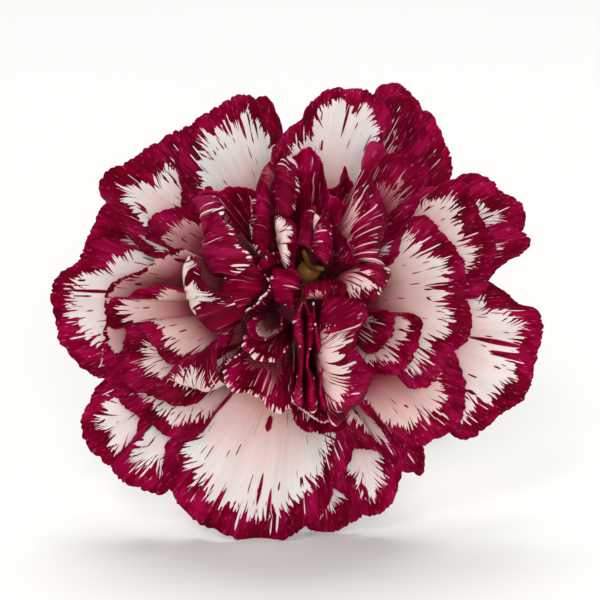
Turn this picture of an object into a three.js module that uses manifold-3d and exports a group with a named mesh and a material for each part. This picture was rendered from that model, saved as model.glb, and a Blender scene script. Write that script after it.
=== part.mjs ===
// A cut carnation: a double bloom of ruffled petals in a green calyx, on a short leafy stem.
// It lies on a surface, carried by the rim of the bloom and the cut end of the stem.
//
// The flower is drawn in its own frame and then laid down: x runs across the bloom, y up its
// face, and z out of its face, with the calyx and the stem on the negative z axis.
import * as THREE from "three";
import { mergeVertices } from "three/addons/utils/BufferGeometryUtils.js";
import Module from "manifold-3d";

const wasm = await Module();
wasm.setup();

// ---- Driving dimensions, in millimetres and degrees ----

const FACE_TILT = 17; // the bloom's face looks up by this much as the flower lies
const FLOWER_AT = [0.5, -49.7, 39.3]; // where the centre of the bloom's face is as it lies
const PETAL_THICKNESS = 0.71;
const CLAW_WIDTH = 2.6; // a petal is this wide where it leaves the bundle
const CLAW_HEIGHT = -15; // z at which the petals leave the bundle
const CLAW_RING = { least: 1.5, share: 0.3, most: 4.2 }; // a claw's distance from the axis, by its reach
const KNEE_REACH = 0.45; // share of a petal's reach at which it bends over
const KNEE_SPREAD = 0.35; // share of its breadth that it has by then
const FOLD_SHARE = 0.55; // share of the way from claw to margin at which a folded petal folds
const DOME_DROP = 5; // the face is domed, and falls by this much at DOME_RADIUS
const DOME_RADIUS = 40;
const WAVE = { length: 12, height: 1.1 }; // the waves that run along each margin
const FULLY_WAVED = 30; // margins shorter than this have lower waves

const FIT_GAP = 0.3; // between pieces that touch
const COLUMN_WIDTH = 6.5; // a petal is drawn in strips about this wide at its margin
const COLUMNS = { flat: 3, folded: 4, most: 13 }; // the fewest strips of a petal, and the most
const ROWS = 3; // and this many rows from claw to margin
const SEED = 11; // of the waves along the margins
const TIDY = 0.01; // edges shorter than this are closed up once pieces are joined

const BUNDLE_RADIUS = 6.2; // the claws, packed in the calyx
const BUNDLE_TOP = -10;
const OVARY_RADIUS = 1.9;
const STYLE_RADIUS = 0.75;
const OVARY_PATH = [[0, 0, -25.6], [0, 0, -14], [0.8, 3, -9], [1.7, 5.4, -2.5]];
const STYLE_TIPS = [[0.5, 8.2, 2.5], [4, 5, 2]];

const CALYX = { mouth: -18.6, floor: -29, base: -43, radius: 7.4, wall: 0.8, sides: 30 };
const TEETH = { count: 5, length: 3.4, flare: 0.5 };
const SCALES = [ // the small leaves that clasp the foot of the calyx, in two crossed pairs
  { turn: 0, width: 80, top: -34.5 },
  { turn: 180, width: 80, top: -35 },
  { turn: 90, width: 95, top: -31.5 },
  { turn: 270, width: 95, top: -32 },
];
const SCALE_THICKNESS = 0.8;

const STEM_RADIUS = 1.9;
const JOINT_AT = [-0.2, 0.6, -86]; // the swollen joint that bears the leaves
const JOINT_RADIUS = 2.9;
const STEM_PATH = [[0, 0, -43.3], [0.5, 0.7, -62], JOINT_AT, [0.3, -1.5, -124]];
const LEAF = { width: 6.2, thickness: 0.8, hollow: 1.3, steps: 14 };
const LEAF_PATHS = {
  leaf_right: [[3.35, 0.6, -87.5], [4.5, 1, -80], [12, 0.5, -64], [20.5, -6.5, -57], [25.6, -21, -55.5]],
  leaf_left: [[-3.75, 0.6, -87.5], [-4.8, 1.4, -79], [-11.5, 2.5, -61], [-20, -3, -52], [-29.5, -6, -49]],
};

const GREEN = { calyx: 0x7f9a5f, stem: 0x86a070, leaf: 0x8aa583, pistil: 0xb9c47a };
const PETAL_COLOUR = 0xd9a9b4;

// ---- Petals ----
// Each margin is a row of [x, y, z] points, anticlockwise as the face is seen. lift is the height
// at which the petal bends over, and reach, where it isn't KNEE_REACH, how far out that is. A petal
// that is folded or curled has the line of its fold instead.

const PETALS = [
  // the outer whorl, from the top and round to the left, hindmost petals first
  {
    lift: -2.5,
    margin: [
      [-2.7, 23.3, -3], [-2.3, 27, -4], [-3.2, 30, -4], [-4.5, 32.7, -4], [-6.3, 33.8, -4],
      [-8.3, 33, -4], [-10, 31.3, -4],
    ],
  },
  {
    lift: -2.5,
    margin: [
      [-15.8, 29.7, -4], [-18, 29.3, -4], [-20.5, 28.5, -4], [-22.7, 27, -4], [-23.7, 25.3, -4],
      [-23.3, 23.3, -4],
    ],
  },
  {
    lift: -2.5,
    margin: [
      [-29.2, 16.7, -4], [-32, 16.7, -4], [-33.8, 14.7, -4.5], [-35, 11.3, -4.5], [-36, 8, -4],
      [-33.3, 6.3, -4],
    ],
  },
  {
    lift: -2.5,
    margin: [
      [19.7, 27.5, -4], [20.3, 30, -5], [20, 33, -5], [18.2, 35.3, -5], [16, 36.3, -5],
      [14, 35.5, -4.5], [12.7, 33.3, -4],
    ],
  },
  {
    lift: -2.2,
    margin: [
      [22.5, 17.5, -2], [24.7, 20, -3], [25, 24, -3], [24, 27.3, -3.5], [22.3, 30.5, -4],
      [20, 31.8, -4], [17.5, 31.3, -4],
    ],
  },
  {
    lift: -2.2,
    margin: [
      [35.3, 10, -4], [37, 11.3, -4], [37.3, 14.7, -4], [36.2, 16.8, -4], [33.8, 18.3, -4],
      [31.7, 20.3, -4], [28.7, 20.7, -4], [26.3, 20, -3.5], [25, 18.3, -3],
    ],
  },
  {
    lift: -2.5,
    margin: [
      [0, -36.7, -4], [2, -38.5, -4], [3.7, -39, -4], [6.7, -38.5, -4], [9.3, -36.8, -4],
      [10.3, -35, -4], [10, -31.7, -4],
    ],
  },
  {
    lift: -2.5,
    margin: [
      [15.8, -28.3, -4], [17.7, -28.8, -4], [18.8, -28.7, -4], [20.2, -29.2, -4], [20.7, -27, -3.5],
      [20.7, -24.2, -3],
    ],
  },
  {
    lift: -1.2,
    margin: [
      [20, 22.5, -1], [21.3, 25, -2], [21.2, 29.2, -2.5], [19.7, 32.7, -3], [17, 34.2, -3],
      [14.2, 33.3, -3], [13.3, 30.3, -2],
    ],
  },
  {
    lift: -1.2,
    margin: [
      [30.7, 3.3, -2], [32, 4.8, -2], [34.2, 6.2, -2.5], [36.7, 7.3, -3], [38.3, 9.3, -3],
      [36.7, 11.3, -2.5], [33.3, 13, -1.5],
    ],
  },
  {
    lift: -1.2,
    margin: [
      [23.3, -21.7, -1], [25.3, -22.8, -1.5], [29, -22.2, -2], [34.2, -19, -2], [38, -15, -2.5],
      [39.5, -10.3, -2.5], [40.3, -5.8, -3], [39.6, -2.5, -3], [37, -0.2, -2.5], [34, 1.8, -2],
      [31, 2.2, -1.5],
    ],
  },
  {
    lift: -1.2,
    margin: [
      [5.7, -30, -1.5], [7, -32.7, -2], [8.8, -35.3, -2.5], [12, -35.8, -2.5], [14.7, -34.2, -2.5],
      [16.7, -31.2, -2], [17.5, -27.7, -1.5], [17, -24.7, -1], [14.2, -23.3, -1],
    ],
  },
  {
    lift: -1.2,
    margin: [
      [-31.3, -12.5, -1.5], [-34.2, -14, -2], [-35.5, -17, -2.5], [-36.2, -21.2, -2.5],
      [-35, -25, -2.5], [-32, -27.5, -2.5], [-29.2, -28, -2], [-27.5, -25.8, -2],
    ],
  },
  {
    lift: -1.2,
    margin: [
      [-19.3, 16.7, -1.5], [-19.5, 20.8, -2], [-21, 24.2, -2.5], [-23.7, 25.7, -2.5],
      [-26.2, 25, -2.5], [-28.8, 23.3, -2.5], [-32, 21.3, -2.5], [-33, 18.7, -2], [-32.3, 16, -1.5],
      [-30, 13, -1], [-26.7, 10.3, -0.5],
    ],
  },
  {
    lift: 0,
    margin: [
      [-26.7, -18, 0], [-27.8, -21.7, -0.5], [-29, -25.3, -1], [-31.2, -27.8, -1.5],
      [-29.7, -30.5, -1.5], [-26.7, -31.3, -1.5], [-23.3, -31.7, -1.5], [-20.8, -29.7, -1],
      [-20, -26.7, -1],
    ],
  },
  {
    lift: 0,
    margin: [
      [-4.7, 19.2, 0], [-2.8, 25, -0.5], [-4, 29.2, -1], [-6.3, 32.7, -1.5], [-9.2, 33.8, -1.5],
      [-13.3, 32.3, -1], [-17.7, 29.7, -1], [-19.8, 24.2, -0.5], [-20, 19.2, 0], [-19, 14.7, 0],
    ],
  },
  {
    lift: 0,
    margin: [
      [-23, 7.7, 1], [-26.7, 9.5, 0.5], [-31.3, 9.7, -0.5], [-35.8, 8, -1], [-39, 5.7, -1.5],
      [-40.8, 2.7, -1.5], [-41.2, -1.3, -1.5], [-40.5, -6, -1], [-37.5, -9.2, -0.5],
      [-34.2, -13.3, 0], [-31.3, -14.2, 0],
    ],
  },
  {
    lift: 1,
    margin: [
      [13, 22.5, 1.5], [14.7, 26.7, 0.5], [14.3, 30.8, 0], [12.3, 34.3, -0.5], [8.7, 35.3, -0.5],
      [3.7, 33.8, 0], [-0.3, 31, 0.5], [-2.7, 26.7, 1.5], [-4.7, 22.5, 2], [-5.3, 18.3, 2.5],
    ],
  },
  {
    lift: 1,
    margin: [
      [-17.3, -22, 0.5], [-21, -23.3, 0.5], [-22.2, -26.3, 0], [-22.3, -30, -0.5],
      [-21.3, -32.8, -0.5], [-18.7, -35.2, -0.5], [-15, -37.8, 0], [-10, -40, 0], [-5, -40.2, 0],
      [-0.7, -39.3, 0], [3, -35.3, 0.5], [5.8, -31.7, 1], [7.8, -28.3, 1.5], [7.7, -24.7, 2],
      [6, -22, 2],
    ],
  },
  {
    lift: 2,
    margin: [
      [10.2, -17.5, 3], [11.3, -20, 3], [13.5, -22.2, 2.5], [16.7, -23.5, 2], [20.3, -24, 1.5],
      [24, -23, 1.5], [26.2, -20.7, 1.5], [27, -17.3, 1.5], [27.8, -13.7, 2], [26.8, -10.7, 2],
      [24.7, -8.7, 2.5],
    ],
  },
  {
    lift: 1,
    margin: [
      [6.3, -22.7, 2.5], [8.7, -24.2, 2], [11.7, -25.3, 1.5], [14.3, -27, 0.5], [16.3, -27, 0],
      [17, -24.2, 0.5],
    ],
  },

  // the middle whorl
  {
    lift: 2,
    margin: [
      [-30.3, 12, 1], [-28.3, 10, 2], [-25.3, 8.2, 2.5], [-22, 7, 3], [-18.7, 7, 3],
    ],
  },
  {
    lift: 2,
    margin: [
      [-32.8, -5.8, 1.5], [-32.5, -8.3, 1.5], [-32, -11.7, 1.5], [-30, -14.3, 1.5],
      [-27.5, -15.7, 2],
    ],
  },
  {
    lift: 1.5,
    margin: [
      [-31.3, -14.2, 1], [-29.7, -16.3, 1], [-27, -19.3, 1], [-23.7, -21.5, 1.5], [-20, -22.3, 1.5],
      [-16.2, -22.2, 2], [-14.2, -20, 3], [-13.3, -17, 3.5],
    ],
  },
  {
    lift: 2,
    margin: [
      [27.7, 1.3, 2], [29.7, 0.7, 1.5], [31.5, 2, 1], [32.3, 5.3, 1], [31.8, 9.2, 1],
      [30.7, 13.3, 1], [28.8, 17, 1], [26.3, 19.3, 1.5], [23.3, 19.8, 2], [20.7, 19.3, 3],
      [18.3, 17.5, 3],
    ],
  },
  {
    lift: 2,
    margin: [
      [-19.3, 7.7, 6.5], [-23.3, 7, 6], [-26.7, 5.3, 5], [-30, 2.8, 4], [-32.2, -0.3, 3],
      [-32.8, -3.7, 3], [-32.3, -6.7, 3], [-30, -8.7, 3],
    ],
  },
  {
    lift: 3.5,
    margin: [
      [-29, -4.2, 4.5], [-29.8, -7.5, 4], [-29.7, -11, 4], [-28.3, -14, 4], [-25.3, -16.2, 4],
      [-21.3, -17, 4.5], [-17.5, -16.7, 5], [-14.7, -15.7, 5.5],
    ],
  },
  {
    lift: 4,
    margin: [
      [-20.3, 0.8, 8], [-25, 2, 7.5], [-28.7, 1.5, 6.5], [-31.2, -0.5, 5.5], [-30.8, -3.7, 5.5],
      [-27.5, -5, 6.5], [-24.7, -7, 7.5], [-21.3, -9.3, 8], [-18, -11.3, 8.5], [-14.7, -14, 8.5],
    ],
  },
  {
    lift: 3,
    margin: [
      [-14.7, 18.3, 6], [-16.7, 17.7, 5.5], [-19.2, 16, 5], [-22.5, 14.5, 4.5], [-24.8, 12, 4],
      [-25.5, 9.7, 4], [-22.5, 8.2, 5], [-19.2, 7.3, 5.5], [-15.8, 7.2, 6],
    ],
  },
  {
    lift: 3.5,
    margin: [
      [13.7, 9.7, 7], [17, 12.3, 6], [20, 15.3, 5], [20.8, 18.7, 4], [20, 22, 3.5], [18, 24.2, 3.5],
      [14.7, 25, 4], [12.8, 23.7, 5], [12, 20.8, 6],
    ],
  },
  {
    lift: 4,
    margin: [
      [15.7, -12.7, 6], [17.7, -14, 5.5], [20.7, -13.7, 5], [24, -11.3, 4.5], [26.7, -7.5, 4],
      [28, -2.5, 4], [27.7, 2.5, 4], [25.8, 8, 4.5], [23.3, 12, 5], [21.2, 13.7, 5.5],
      [18.7, 12.7, 6.5], [16, 10, 7], [14.5, 6.3, 7.5],
    ],
  },
  {
    lift: 5,
    margin: [
      [10.3, -14.2, 9], [13, -12, 10], [15.8, -11.2, 10], [18.5, -9.5, 9.5], [20.2, -7, 9],
      [20, -4.2, 9], [18, -2.7, 9.5], [15.8, -3.3, 10], [14, -5.8, 9.5],
    ],
  },
  {
    lift: 6,
    margin: [
      [10.7, -8.7, 10], [13, -7.3, 11], [14.8, -5, 11], [15, -2.3, 11], [13, -1.2, 11],
      [11, -2.3, 10.5],
    ],
  },

  // the inner petals, upright, curled and crumpled
  {
    lift: 1, reach: 0.75,
    margin: [
      [-6.9, 14, 8.5], [-6.9, 16.3, 9.5], [-7.8, 17.6, 10], [-9.3, 18.3, 10.5], [-10.9, 18.6, 10.5],
      [-12.2, 18.5, 10], [-12.9, 18, 9.5], [-14.5, 18, 10], [-15.7, 17.3, 9.5], [-16.3, 15.5, 8.5],
    ],
  },
  {
    fold: [
      [-15.7, 14.4, 10.5], [-15.5, 13.1, 11], [-15.4, 11.8, 11], [-15.2, 10.8, 10.5], [-15, 9.8, 10],
    ],
    margin: [
      [-15.4, 16.8, 10.5], [-14, 16.7, 11], [-12.9, 15.4, 11.5], [-12.1, 13.6, 11.5], [-12.4, 11.6, 11],
      [-14.2, 10.1, 10],
    ],
  },
  {
    fold: [
      [-14.2, 11.3, 8.5], [-15.5, 9, 8], [-15.4, 6.5, 8], [-14, 4.1, 8.5],
    ],
    margin: [
      [-12.9, 14.4, 13.5], [-10.6, 11.6, 14.5], [-8.7, 8.8, 15], [-7.8, 6.2, 14.5], [-9, 3.8, 14],
    ],
  },
  {
    fold: [
      [-17, 6.9, 10], [-18.1, 4.4, 11.5], [-18, 0.7, 12], [-16.5, -2.6, 12], [-14.4, -4.7, 12],
      [-11.9, -5.1, 11.5],
    ],
    margin: [
      [-15.8, 5.2, 11.5], [-15.2, 3.1, 12.5], [-13.2, 1.6, 13], [-11.3, 0.7, 13.5], [-9.3, -1, 13.5],
      [-9.8, -2.8, 13], [-11.6, -4.1, 12.5],
    ],
  },
  {
    fold: [
      [-6.2, 5.4, 12], [-6, 3.3, 12.5], [-6.7, 1.3, 12.5], [-8, -0.7, 12],
    ],
    margin: [
      [-9.8, 6.2, 11.5], [-11.9, 4.9, 11.5], [-13.1, 2.4, 11.5], [-12.7, 0, 11.5], [-11.3, -2.1, 11.5],
    ],
  },
  {
    lift: 11,
    margin: [
      [-6.2, 3.9, 13.5], [-5.2, 2.6, 14], [-5.6, 1, 14], [-6.7, -0.5, 13.5], [-8.2, -1.3, 13],
      [-9.8, -2, 12.5],
    ],
  },
  {
    fold: [
      [-20.4, -12.1, 8], [-18.5, -13.1, 8.5], [-16.3, -14, 9], [-14.2, -14.5, 9.5], [-11.9, -13.2, 10],
    ],
    margin: [
      [-19.3, -9.6, 8.5], [-18, -8.5, 9.5], [-16.3, -8.2, 10.5], [-14.5, -7.3, 11.5], [-12.9, -6.5, 12],
    ],
  },
  {
    lift: 8,
    margin: [
      [-9.8, -2.4, 12.5], [-11.8, -3.3, 12.5], [-13.2, -4.6, 12.5], [-14, -6.9, 12], [-14, -9.3, 11.5],
      [-11.9, -8.5, 11.5], [-9.6, -7.3, 12],
    ],
  },
  {
    lift: 8.5,
    margin: [
      [-10.5, -8.2, 12.5], [-11.8, -10.5, 12], [-11.6, -13.1, 12], [-10.1, -15.2, 12],
      [-7.8, -16.2, 12], [-5.6, -17.3, 12.5], [-3.3, -17.6, 13], [-1, -16, 13.5],
    ],
  },
  {
    lift: 12,
    margin: [
      [-9.8, -5.9, 13.5], [-9.8, -7.7, 14], [-8.2, -8.8, 14.5], [-5.9, -9.6, 14.5], [-3.6, -9.5, 14.5],
      [-1.6, -8.2, 14.5],
    ],
  },
  {
    lift: 10,
    margin: [
      [-7.3, -2.3, 15.5], [-8.2, -3.9, 15.5], [-7.5, -5.7, 16], [-5.9, -6.4, 16.5], [-3.9, -5.9, 16.5],
      [-2.6, -4.2, 16.5], [-2.6, -2.3, 16],
    ],
  },
  {
    fold: [
      [0.2, -15.8, 10], [0.3, -11.9, 11.5], [0.5, -8, 12], [0.5, -4.1, 12], [0.5, -0.5, 11.5],
    ],
    margin: [
      [-0.8, -16.2, 12], [-0.5, -12.6, 13.5], [-0.3, -8.5, 14], [-0.3, -4.4, 14], [-0.2, -0.8, 13.5],
    ],
  },
  {
    fold: [
      [1.1, -16.7, 9.5], [1.3, -12.4, 11], [1.1, -8.2, 11.5], [1.1, -3.9, 11.5], [1, -0.2, 11],
    ],
    margin: [
      [2.1, -17, 12.5], [2.1, -12.9, 13.5], [2, -8.5, 14], [1.8, -4.2, 14], [1.5, -0.5, 13.5],
    ],
  },
  {
    fold: [
      [3.1, -16.7, 10], [3.1, -12.4, 11], [2.8, -8.2, 11.5], [2.4, -3.9, 11.5], [2, -0.7, 11],
    ],
    margin: [
      [4.4, -16.5, 12.5], [4.1, -12.4, 13.5], [3.4, -8.2, 14], [2.9, -4.2, 14], [2.4, -0.7, 13.5],
    ],
  },
  {
    lift: 2, reach: 0.6,
    margin: [
      [-1.6, -16, 12], [-0.7, -17.6, 12], [1, -18.8, 11.5], [2.9, -19.4, 11.5], [5.4, -19.4, 11],
      [6.2, -17.6, 11],
    ],
  },
  {
    lift: 2,
    margin: [
      [-1.8, -18.3, 9.5], [-1.1, -20.2, 9], [0.8, -21.4, 8.5], [3.4, -21.6, 8], [5.9, -21.2, 8],
      [8.2, -20.9, 8],
    ],
  },
  {
    fold: [
      [4.6, -18.5, 11], [4.1, -15.7, 13], [3.9, -12.2, 14.5], [3.6, -9, 15], [3.4, -5.7, 15],
      [3.4, -2.4, 15], [3.8, 0, 14.5],
    ],
    margin: [
      [4.9, -19.3, 9.5], [7.3, -19.4, 10], [9, -18, 11], [10.1, -15, 12], [10.5, -11.4, 12.5],
      [10.5, -8.2, 12.5], [10.1, -4.9, 12.5], [9.5, -1.6, 12.5], [7.8, 0.8, 12.5], [5.9, 2, 12.5],
      [4.1, 1.5, 12.5],
    ],
  },
  {
    fold: [
      [6.5, 0.5, 12], [4.6, 0.3, 12.5], [2.6, 0.3, 12.5], [1, 0.3, 12.5],
    ],
    margin: [
      [7.5, 2.6, 13], [6, 3.3, 13.5], [3.4, 3.6, 14], [1.6, 3.1, 14], [0.3, 2.1, 13.5],
    ],
  },
  {
    fold: [
      [6.9, 1.1, 12], [7.3, 2.9, 13], [8.3, 4.4, 13.5], [9.8, 5.6, 13],
    ],
    margin: [
      [9.5, -2.9, 8.5], [10.8, -1.6, 9], [11.9, -0.3, 9.5], [13.1, 1.1, 10], [13.9, 2.9, 10.5],
      [14, 4.9, 10.5],
    ],
  },
  {
    fold: [
      [10.1, 6.2, 12.5], [8.8, 7.8, 13.5], [8.2, 9.8, 14], [7.8, 12.2, 14.5], [7.7, 14.4, 14.5],
      [8, 16.3, 14], [8.5, 18, 13],
    ],
    margin: [
      [14, 4.2, 9.5], [14, 6.2, 10], [13.6, 8.2, 10.5], [13.1, 10.6, 11], [13.1, 13.9, 11.5],
      [12.9, 16.7, 11.5], [12.6, 19.3, 11.5], [12.4, 22, 11], [12.7, 24.5, 10], [11.6, 24, 10.5],
      [10.8, 22.4, 11], [9.3, 20.6, 11],
    ],
  },
  {
    lift: 2,
    margin: [
      [8.5, 15.8, 9], [8.2, 19.4, 10], [7.7, 21.4, 10.5], [7.2, 21.9, 10.5], [6.4, 20.2, 10.5],
      [5.6, 18.9, 10.5], [4.4, 18, 10.5], [4.1, 15.4, 10.5],
    ],
  },
  {
    lift: 7,
    margin: [
      [7.8, 5.9, 13.5], [8.2, 8.2, 14.5], [8.2, 10.8, 15], [7.8, 13.4, 15], [7, 15.7, 14.5],
      [5.1, 17.3, 13],
    ],
  },
  {
    lift: 3, reach: 0.5,
    margin: [
      [4.2, 13.7, 10.5], [4.4, 18, 11.5], [4.1, 21.2, 12], [2.9, 23.2, 12], [1.1, 24.7, 12],
      [-0.3, 23.5, 12], [-1.8, 22.4, 11.5], [-3.1, 20.9, 11],
    ],
  },
  {
    fold: [
      [-2.8, 21.7, 12], [-3.8, 19.9, 12.5], [-4.2, 17.6, 12.5], [-4.1, 15.5, 12.5], [-3.6, 14, 12.5],
    ],
    margin: [
      [-0.2, 21.7, 13], [0.2, 19.6, 13.5], [0, 17.1, 14], [-0.3, 15, 14], [-1.3, 13.7, 14],
      [-3.3, 13.4, 13.5],
    ],
  },
  {
    fold: [
      [-2.6, 21.9, 12], [-3.8, 20.2, 12.5], [-4.4, 18, 12.5], [-4.9, 15.8, 12.5], [-5.2, 13.7, 12],
    ],
    margin: [
      [-2.4, 23.2, 10.5], [-4.6, 22, 11], [-5.9, 19.9, 11.5], [-7, 17.1, 11.5], [-7.2, 14.5, 11],
    ],
  },
  {
    fold: [
      [-5.6, 15.7, 13], [-5.1, 13.7, 14], [-5.1, 11.4, 14.5], [-5.4, 9.3, 14], [-5.1, 7.2, 13],
    ],
    margin: [
      [-7, 15.5, 12], [-8.2, 13.9, 12.5], [-8.3, 11.8, 13], [-7.7, 9.5, 13], [-6.2, 7, 12.5],
    ],
  },
  {
    fold: [
      [-2.6, 5.2, 11], [-3.1, 7.2, 12], [-3.4, 9, 12.5], [-3.6, 10.5, 12.5], [-3.8, 11.8, 12.5],
      [-3.9, 12.7, 12],
    ],
    margin: [
      [-0.5, 3.9, 12], [0, 6.9, 12.5], [-0.2, 9.8, 13], [-0.7, 11.9, 13], [-1.8, 13.2, 13],
      [-3.4, 13.4, 12.5],
    ],
  },
  {
    fold: [
      [2.9, 6.5, 13], [2.4, 8.2, 13.5], [2.1, 10.1, 14], [2.1, 11.9, 14], [1.8, 13.2, 13.5],
    ],
    margin: [
      [4.2, 5.2, 14], [5.1, 7.2, 14.5], [5.6, 9.8, 15], [5.2, 11.9, 15], [4.2, 13.2, 14.5],
      [2.6, 13.4, 14],
    ],
  },
  {
    fold: [
      [2.1, 7.8, 12.5], [2.3, 10.1, 13.5], [2.3, 12.4, 13.5], [2.3, 14, 13.5],
    ],
    margin: [
      [-0.5, 8.8, 13.5], [-0.2, 11.1, 14], [0, 13.4, 14], [1, 14.4, 14],
    ],
  },
  {
    lift: 9,
    margin: [
      [-2.8, 7.5, 13], [-4.9, 7, 13], [-6.7, 5.9, 13.5], [-7.5, 4.1, 13.5], [-6.9, 2.1, 13.5],
    ],
  },
  {
    fold: [
      [0, 3.8, 12], [-0.2, 2.1, 12.5], [-0.3, 0.5, 12.5], [-0.7, -1.1, 12],
    ],
    margin: [
      [-2.3, 5.4, 13.5], [-4.2, 4.2, 14], [-4.9, 2.1, 14], [-4.1, 0, 14], [-2.1, -1.3, 13.5],
    ],
  },
  {
    lift: 5,
    margin: [
      [-5.2, 6.2, 10.5], [-6.9, 7.2, 11], [-8.8, 6.2, 11.5], [-10.1, 4.6, 12], [-11.1, 3.1, 12],
    ],
  },
  {
    lift: 6,
    margin: [
      [9.3, 5.2, 12], [8.8, 7, 13], [8.2, 8.7, 13.5], [7.2, 10.1, 13.5], [6.2, 11.1, 13],
    ],
  },
];

// ---- Solids ----

// A row of numbers from 0 to 1 that is the same each time.
function seededRandom(seed) {
  let state = seed;
  return () => {
    state = (state * 1664525 + 1013904223) % 4294967296;
    return state / 4294967296;
  };
}

const vec = (p) => new THREE.Vector3(...p);
const curveThrough = (path) => new THREE.CatmullRomCurve3(path.map(vec), false, "catmullrom", 0.5);

// A closed geometry as a manifold-3d solid, and back.
function solidOf(geometry) {
  const bare = new THREE.BufferGeometry().setAttribute("position", geometry.getAttribute("position"));
  if (geometry.index) bare.setIndex(geometry.index);
  const merged = mergeVertices(bare, 1e-4);
  const vertProperties = new Float32Array(merged.attributes.position.array);
  const triVerts = new Uint32Array(merged.index.array);
  return new wasm.Manifold(new wasm.Mesh({ numProp: 3, vertProperties, triVerts }));
}

function geometryOf(solid) {
  const { vertProperties, triVerts } = solid.getMesh();
  const geometry = new THREE.BufferGeometry();
  geometry.setAttribute("position", new THREE.BufferAttribute(new Float32Array(vertProperties), 3));
  geometry.setIndex(new THREE.BufferAttribute(new Uint32Array(triVerts), 1));
  geometry.computeVertexNormals();
  return geometry;
}

// A thin blade: at(s, t) is a point of its middle surface, for s and t from 0 to 1. Both faces
// are split into triangles alike.
function bladeGeometry(at, columns, rows, thickness) {
  const position = [];
  const index = [];
  const step = 1e-3;
  for (const side of [1, -1])
    for (let i = 0; i <= columns; i++)
      for (let j = 0; j <= rows; j++) {
        const s = i / columns;
        const t = j / rows;
        const alongS = at(Math.min(s + step, 1), t).sub(at(Math.max(s - step, 0), t));
        const alongT = at(s, Math.min(t + step, 1)).sub(at(s, Math.max(t - step, 0)));
        const out = alongT.cross(alongS).normalize();
        position.push(...at(s, t).addScaledVector(out, (side * thickness) / 2));
      }
  const face = (columns + 1) * (rows + 1);
  const corner = (i, j, side) => side * face + i * (rows + 1) + j;
  const quad = (a, b, c, d) => index.push(a, b, c, a, c, d);
  for (let i = 0; i < columns; i++)
    for (let j = 0; j < rows; j++) {
      quad(corner(i, j, 0), corner(i, j + 1, 0), corner(i + 1, j + 1, 0), corner(i + 1, j, 0));
      const [a, c] = [corner(i, j, 1), corner(i + 1, j + 1, 1)];
      index.push(c, corner(i, j + 1, 1), a, corner(i + 1, j, 1), c, a);
    }
  const rim = [];
  for (let i = 0; i < columns; i++) rim.push([i, 0, i + 1, 0], [i + 1, rows, i, rows]);
  for (let j = 0; j < rows; j++) rim.push([0, j + 1, 0, j], [columns, j, columns, j + 1]);
  for (const [i, j, k, l] of rim) quad(corner(k, l, 0), corner(k, l, 1), corner(i, j, 1), corner(i, j, 0));
  const geometry = new THREE.BufferGeometry();
  geometry.setAttribute("position", new THREE.Float32BufferAttribute(position, 3));
  geometry.setIndex(index);
  return geometry;
}

// The knee of a vein that passes through the fold.
function kneeThrough(root, fold, tip) {
  const [rest, share] = [1 - FOLD_SHARE, FOLD_SHARE];
  const knee = fold.clone().addScaledVector(root, -(rest ** 2)).addScaledVector(tip, -(share ** 2));
  return knee.divideScalar(2 * rest * share);
}

// The middle surface of one petal. Its veins start side by side at the claw, rise to the knee
// and fan out from there to the margin, which is waved.
function petalSurface({ margin, fold, lift, reach = KNEE_REACH, length, phase }) {
  const edge = curveThrough(margin);
  const crease = fold && curveThrough(fold);
  const middle = edge.getPointAt(0.5);
  const heading = middle.clone().setZ(0).normalize();
  const side = new THREE.Vector3(-heading.y, heading.x, 0);
  const { least, share, most } = CLAW_RING;
  const clawRadius = Math.min(most, least + share * middle.clone().setZ(0).length());
  const claw = heading.clone().multiplyScalar(clawRadius).setZ(CLAW_HEIGHT);
  const waves = length / WAVE.length;
  const height = WAVE.height * Math.min(1, length / FULLY_WAVED);
  return (s, t) => {
    const root = claw.clone().addScaledVector(side, (s - 0.5) * CLAW_WIDTH);
    const tip = edge.getPointAt(s);
    const span = tip.clone().sub(root);
    const out = edge.getTangentAt(s).cross(span).normalize();
    const knee = root.clone();
    knee.addScaledVector(heading, span.dot(heading) * reach);
    knee.addScaledVector(side, span.dot(side) * KNEE_SPREAD);
    knee.z = lift + 0.5 * (tip.z - middle.z);
    tip.z -= DOME_DROP * (Math.hypot(tip.x, tip.y) / DOME_RADIUS) ** 2;
    tip.addScaledVector(out, height * Math.sin(2 * Math.PI * (waves * s + phase)));
    if (crease) knee.copy(kneeThrough(root, crease.getPointAt(s), tip));
    return new THREE.QuadraticBezierCurve3(root, knee, tip).getPoint(t);
  };
}

const latheOf = (profile, sides) =>
  new THREE.LatheGeometry(profile.map(([r, z]) => new THREE.Vector2(r, z)), sides).rotateX(Math.PI / 2);

// The claws of the petals, packed together inside the calyx.
function bundle() {
  const floor = CALYX.floor + FIT_GAP;
  const outline = [
    [0, floor],
    [BUNDLE_RADIUS - 1.2, floor],
    [BUNDLE_RADIUS, floor + 3],
    [BUNDLE_RADIUS, CLAW_HEIGHT],
    [BUNDLE_RADIUS - 1, BUNDLE_TOP],
    [0, BUNDLE_TOP],
  ];
  return solidOf(latheOf(outline, 20));
}

// All the petals, joined to the bundle of their claws.
function bloom() {
  const random = seededRandom(SEED);
  return PETALS.reduce((all, petal) => {
    const length = curveThrough(petal.margin).getLength();
    const fewest = petal.fold ? COLUMNS.folded : COLUMNS.flat;
    const columns = THREE.MathUtils.clamp(Math.round(length / COLUMN_WIDTH), fewest, COLUMNS.most);
    const surface = petalSurface({ ...petal, length, phase: random() });
    return all.add(solidOf(bladeGeometry(surface, columns, ROWS, PETAL_THICKNESS)));
  }, bundle());
}

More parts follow.
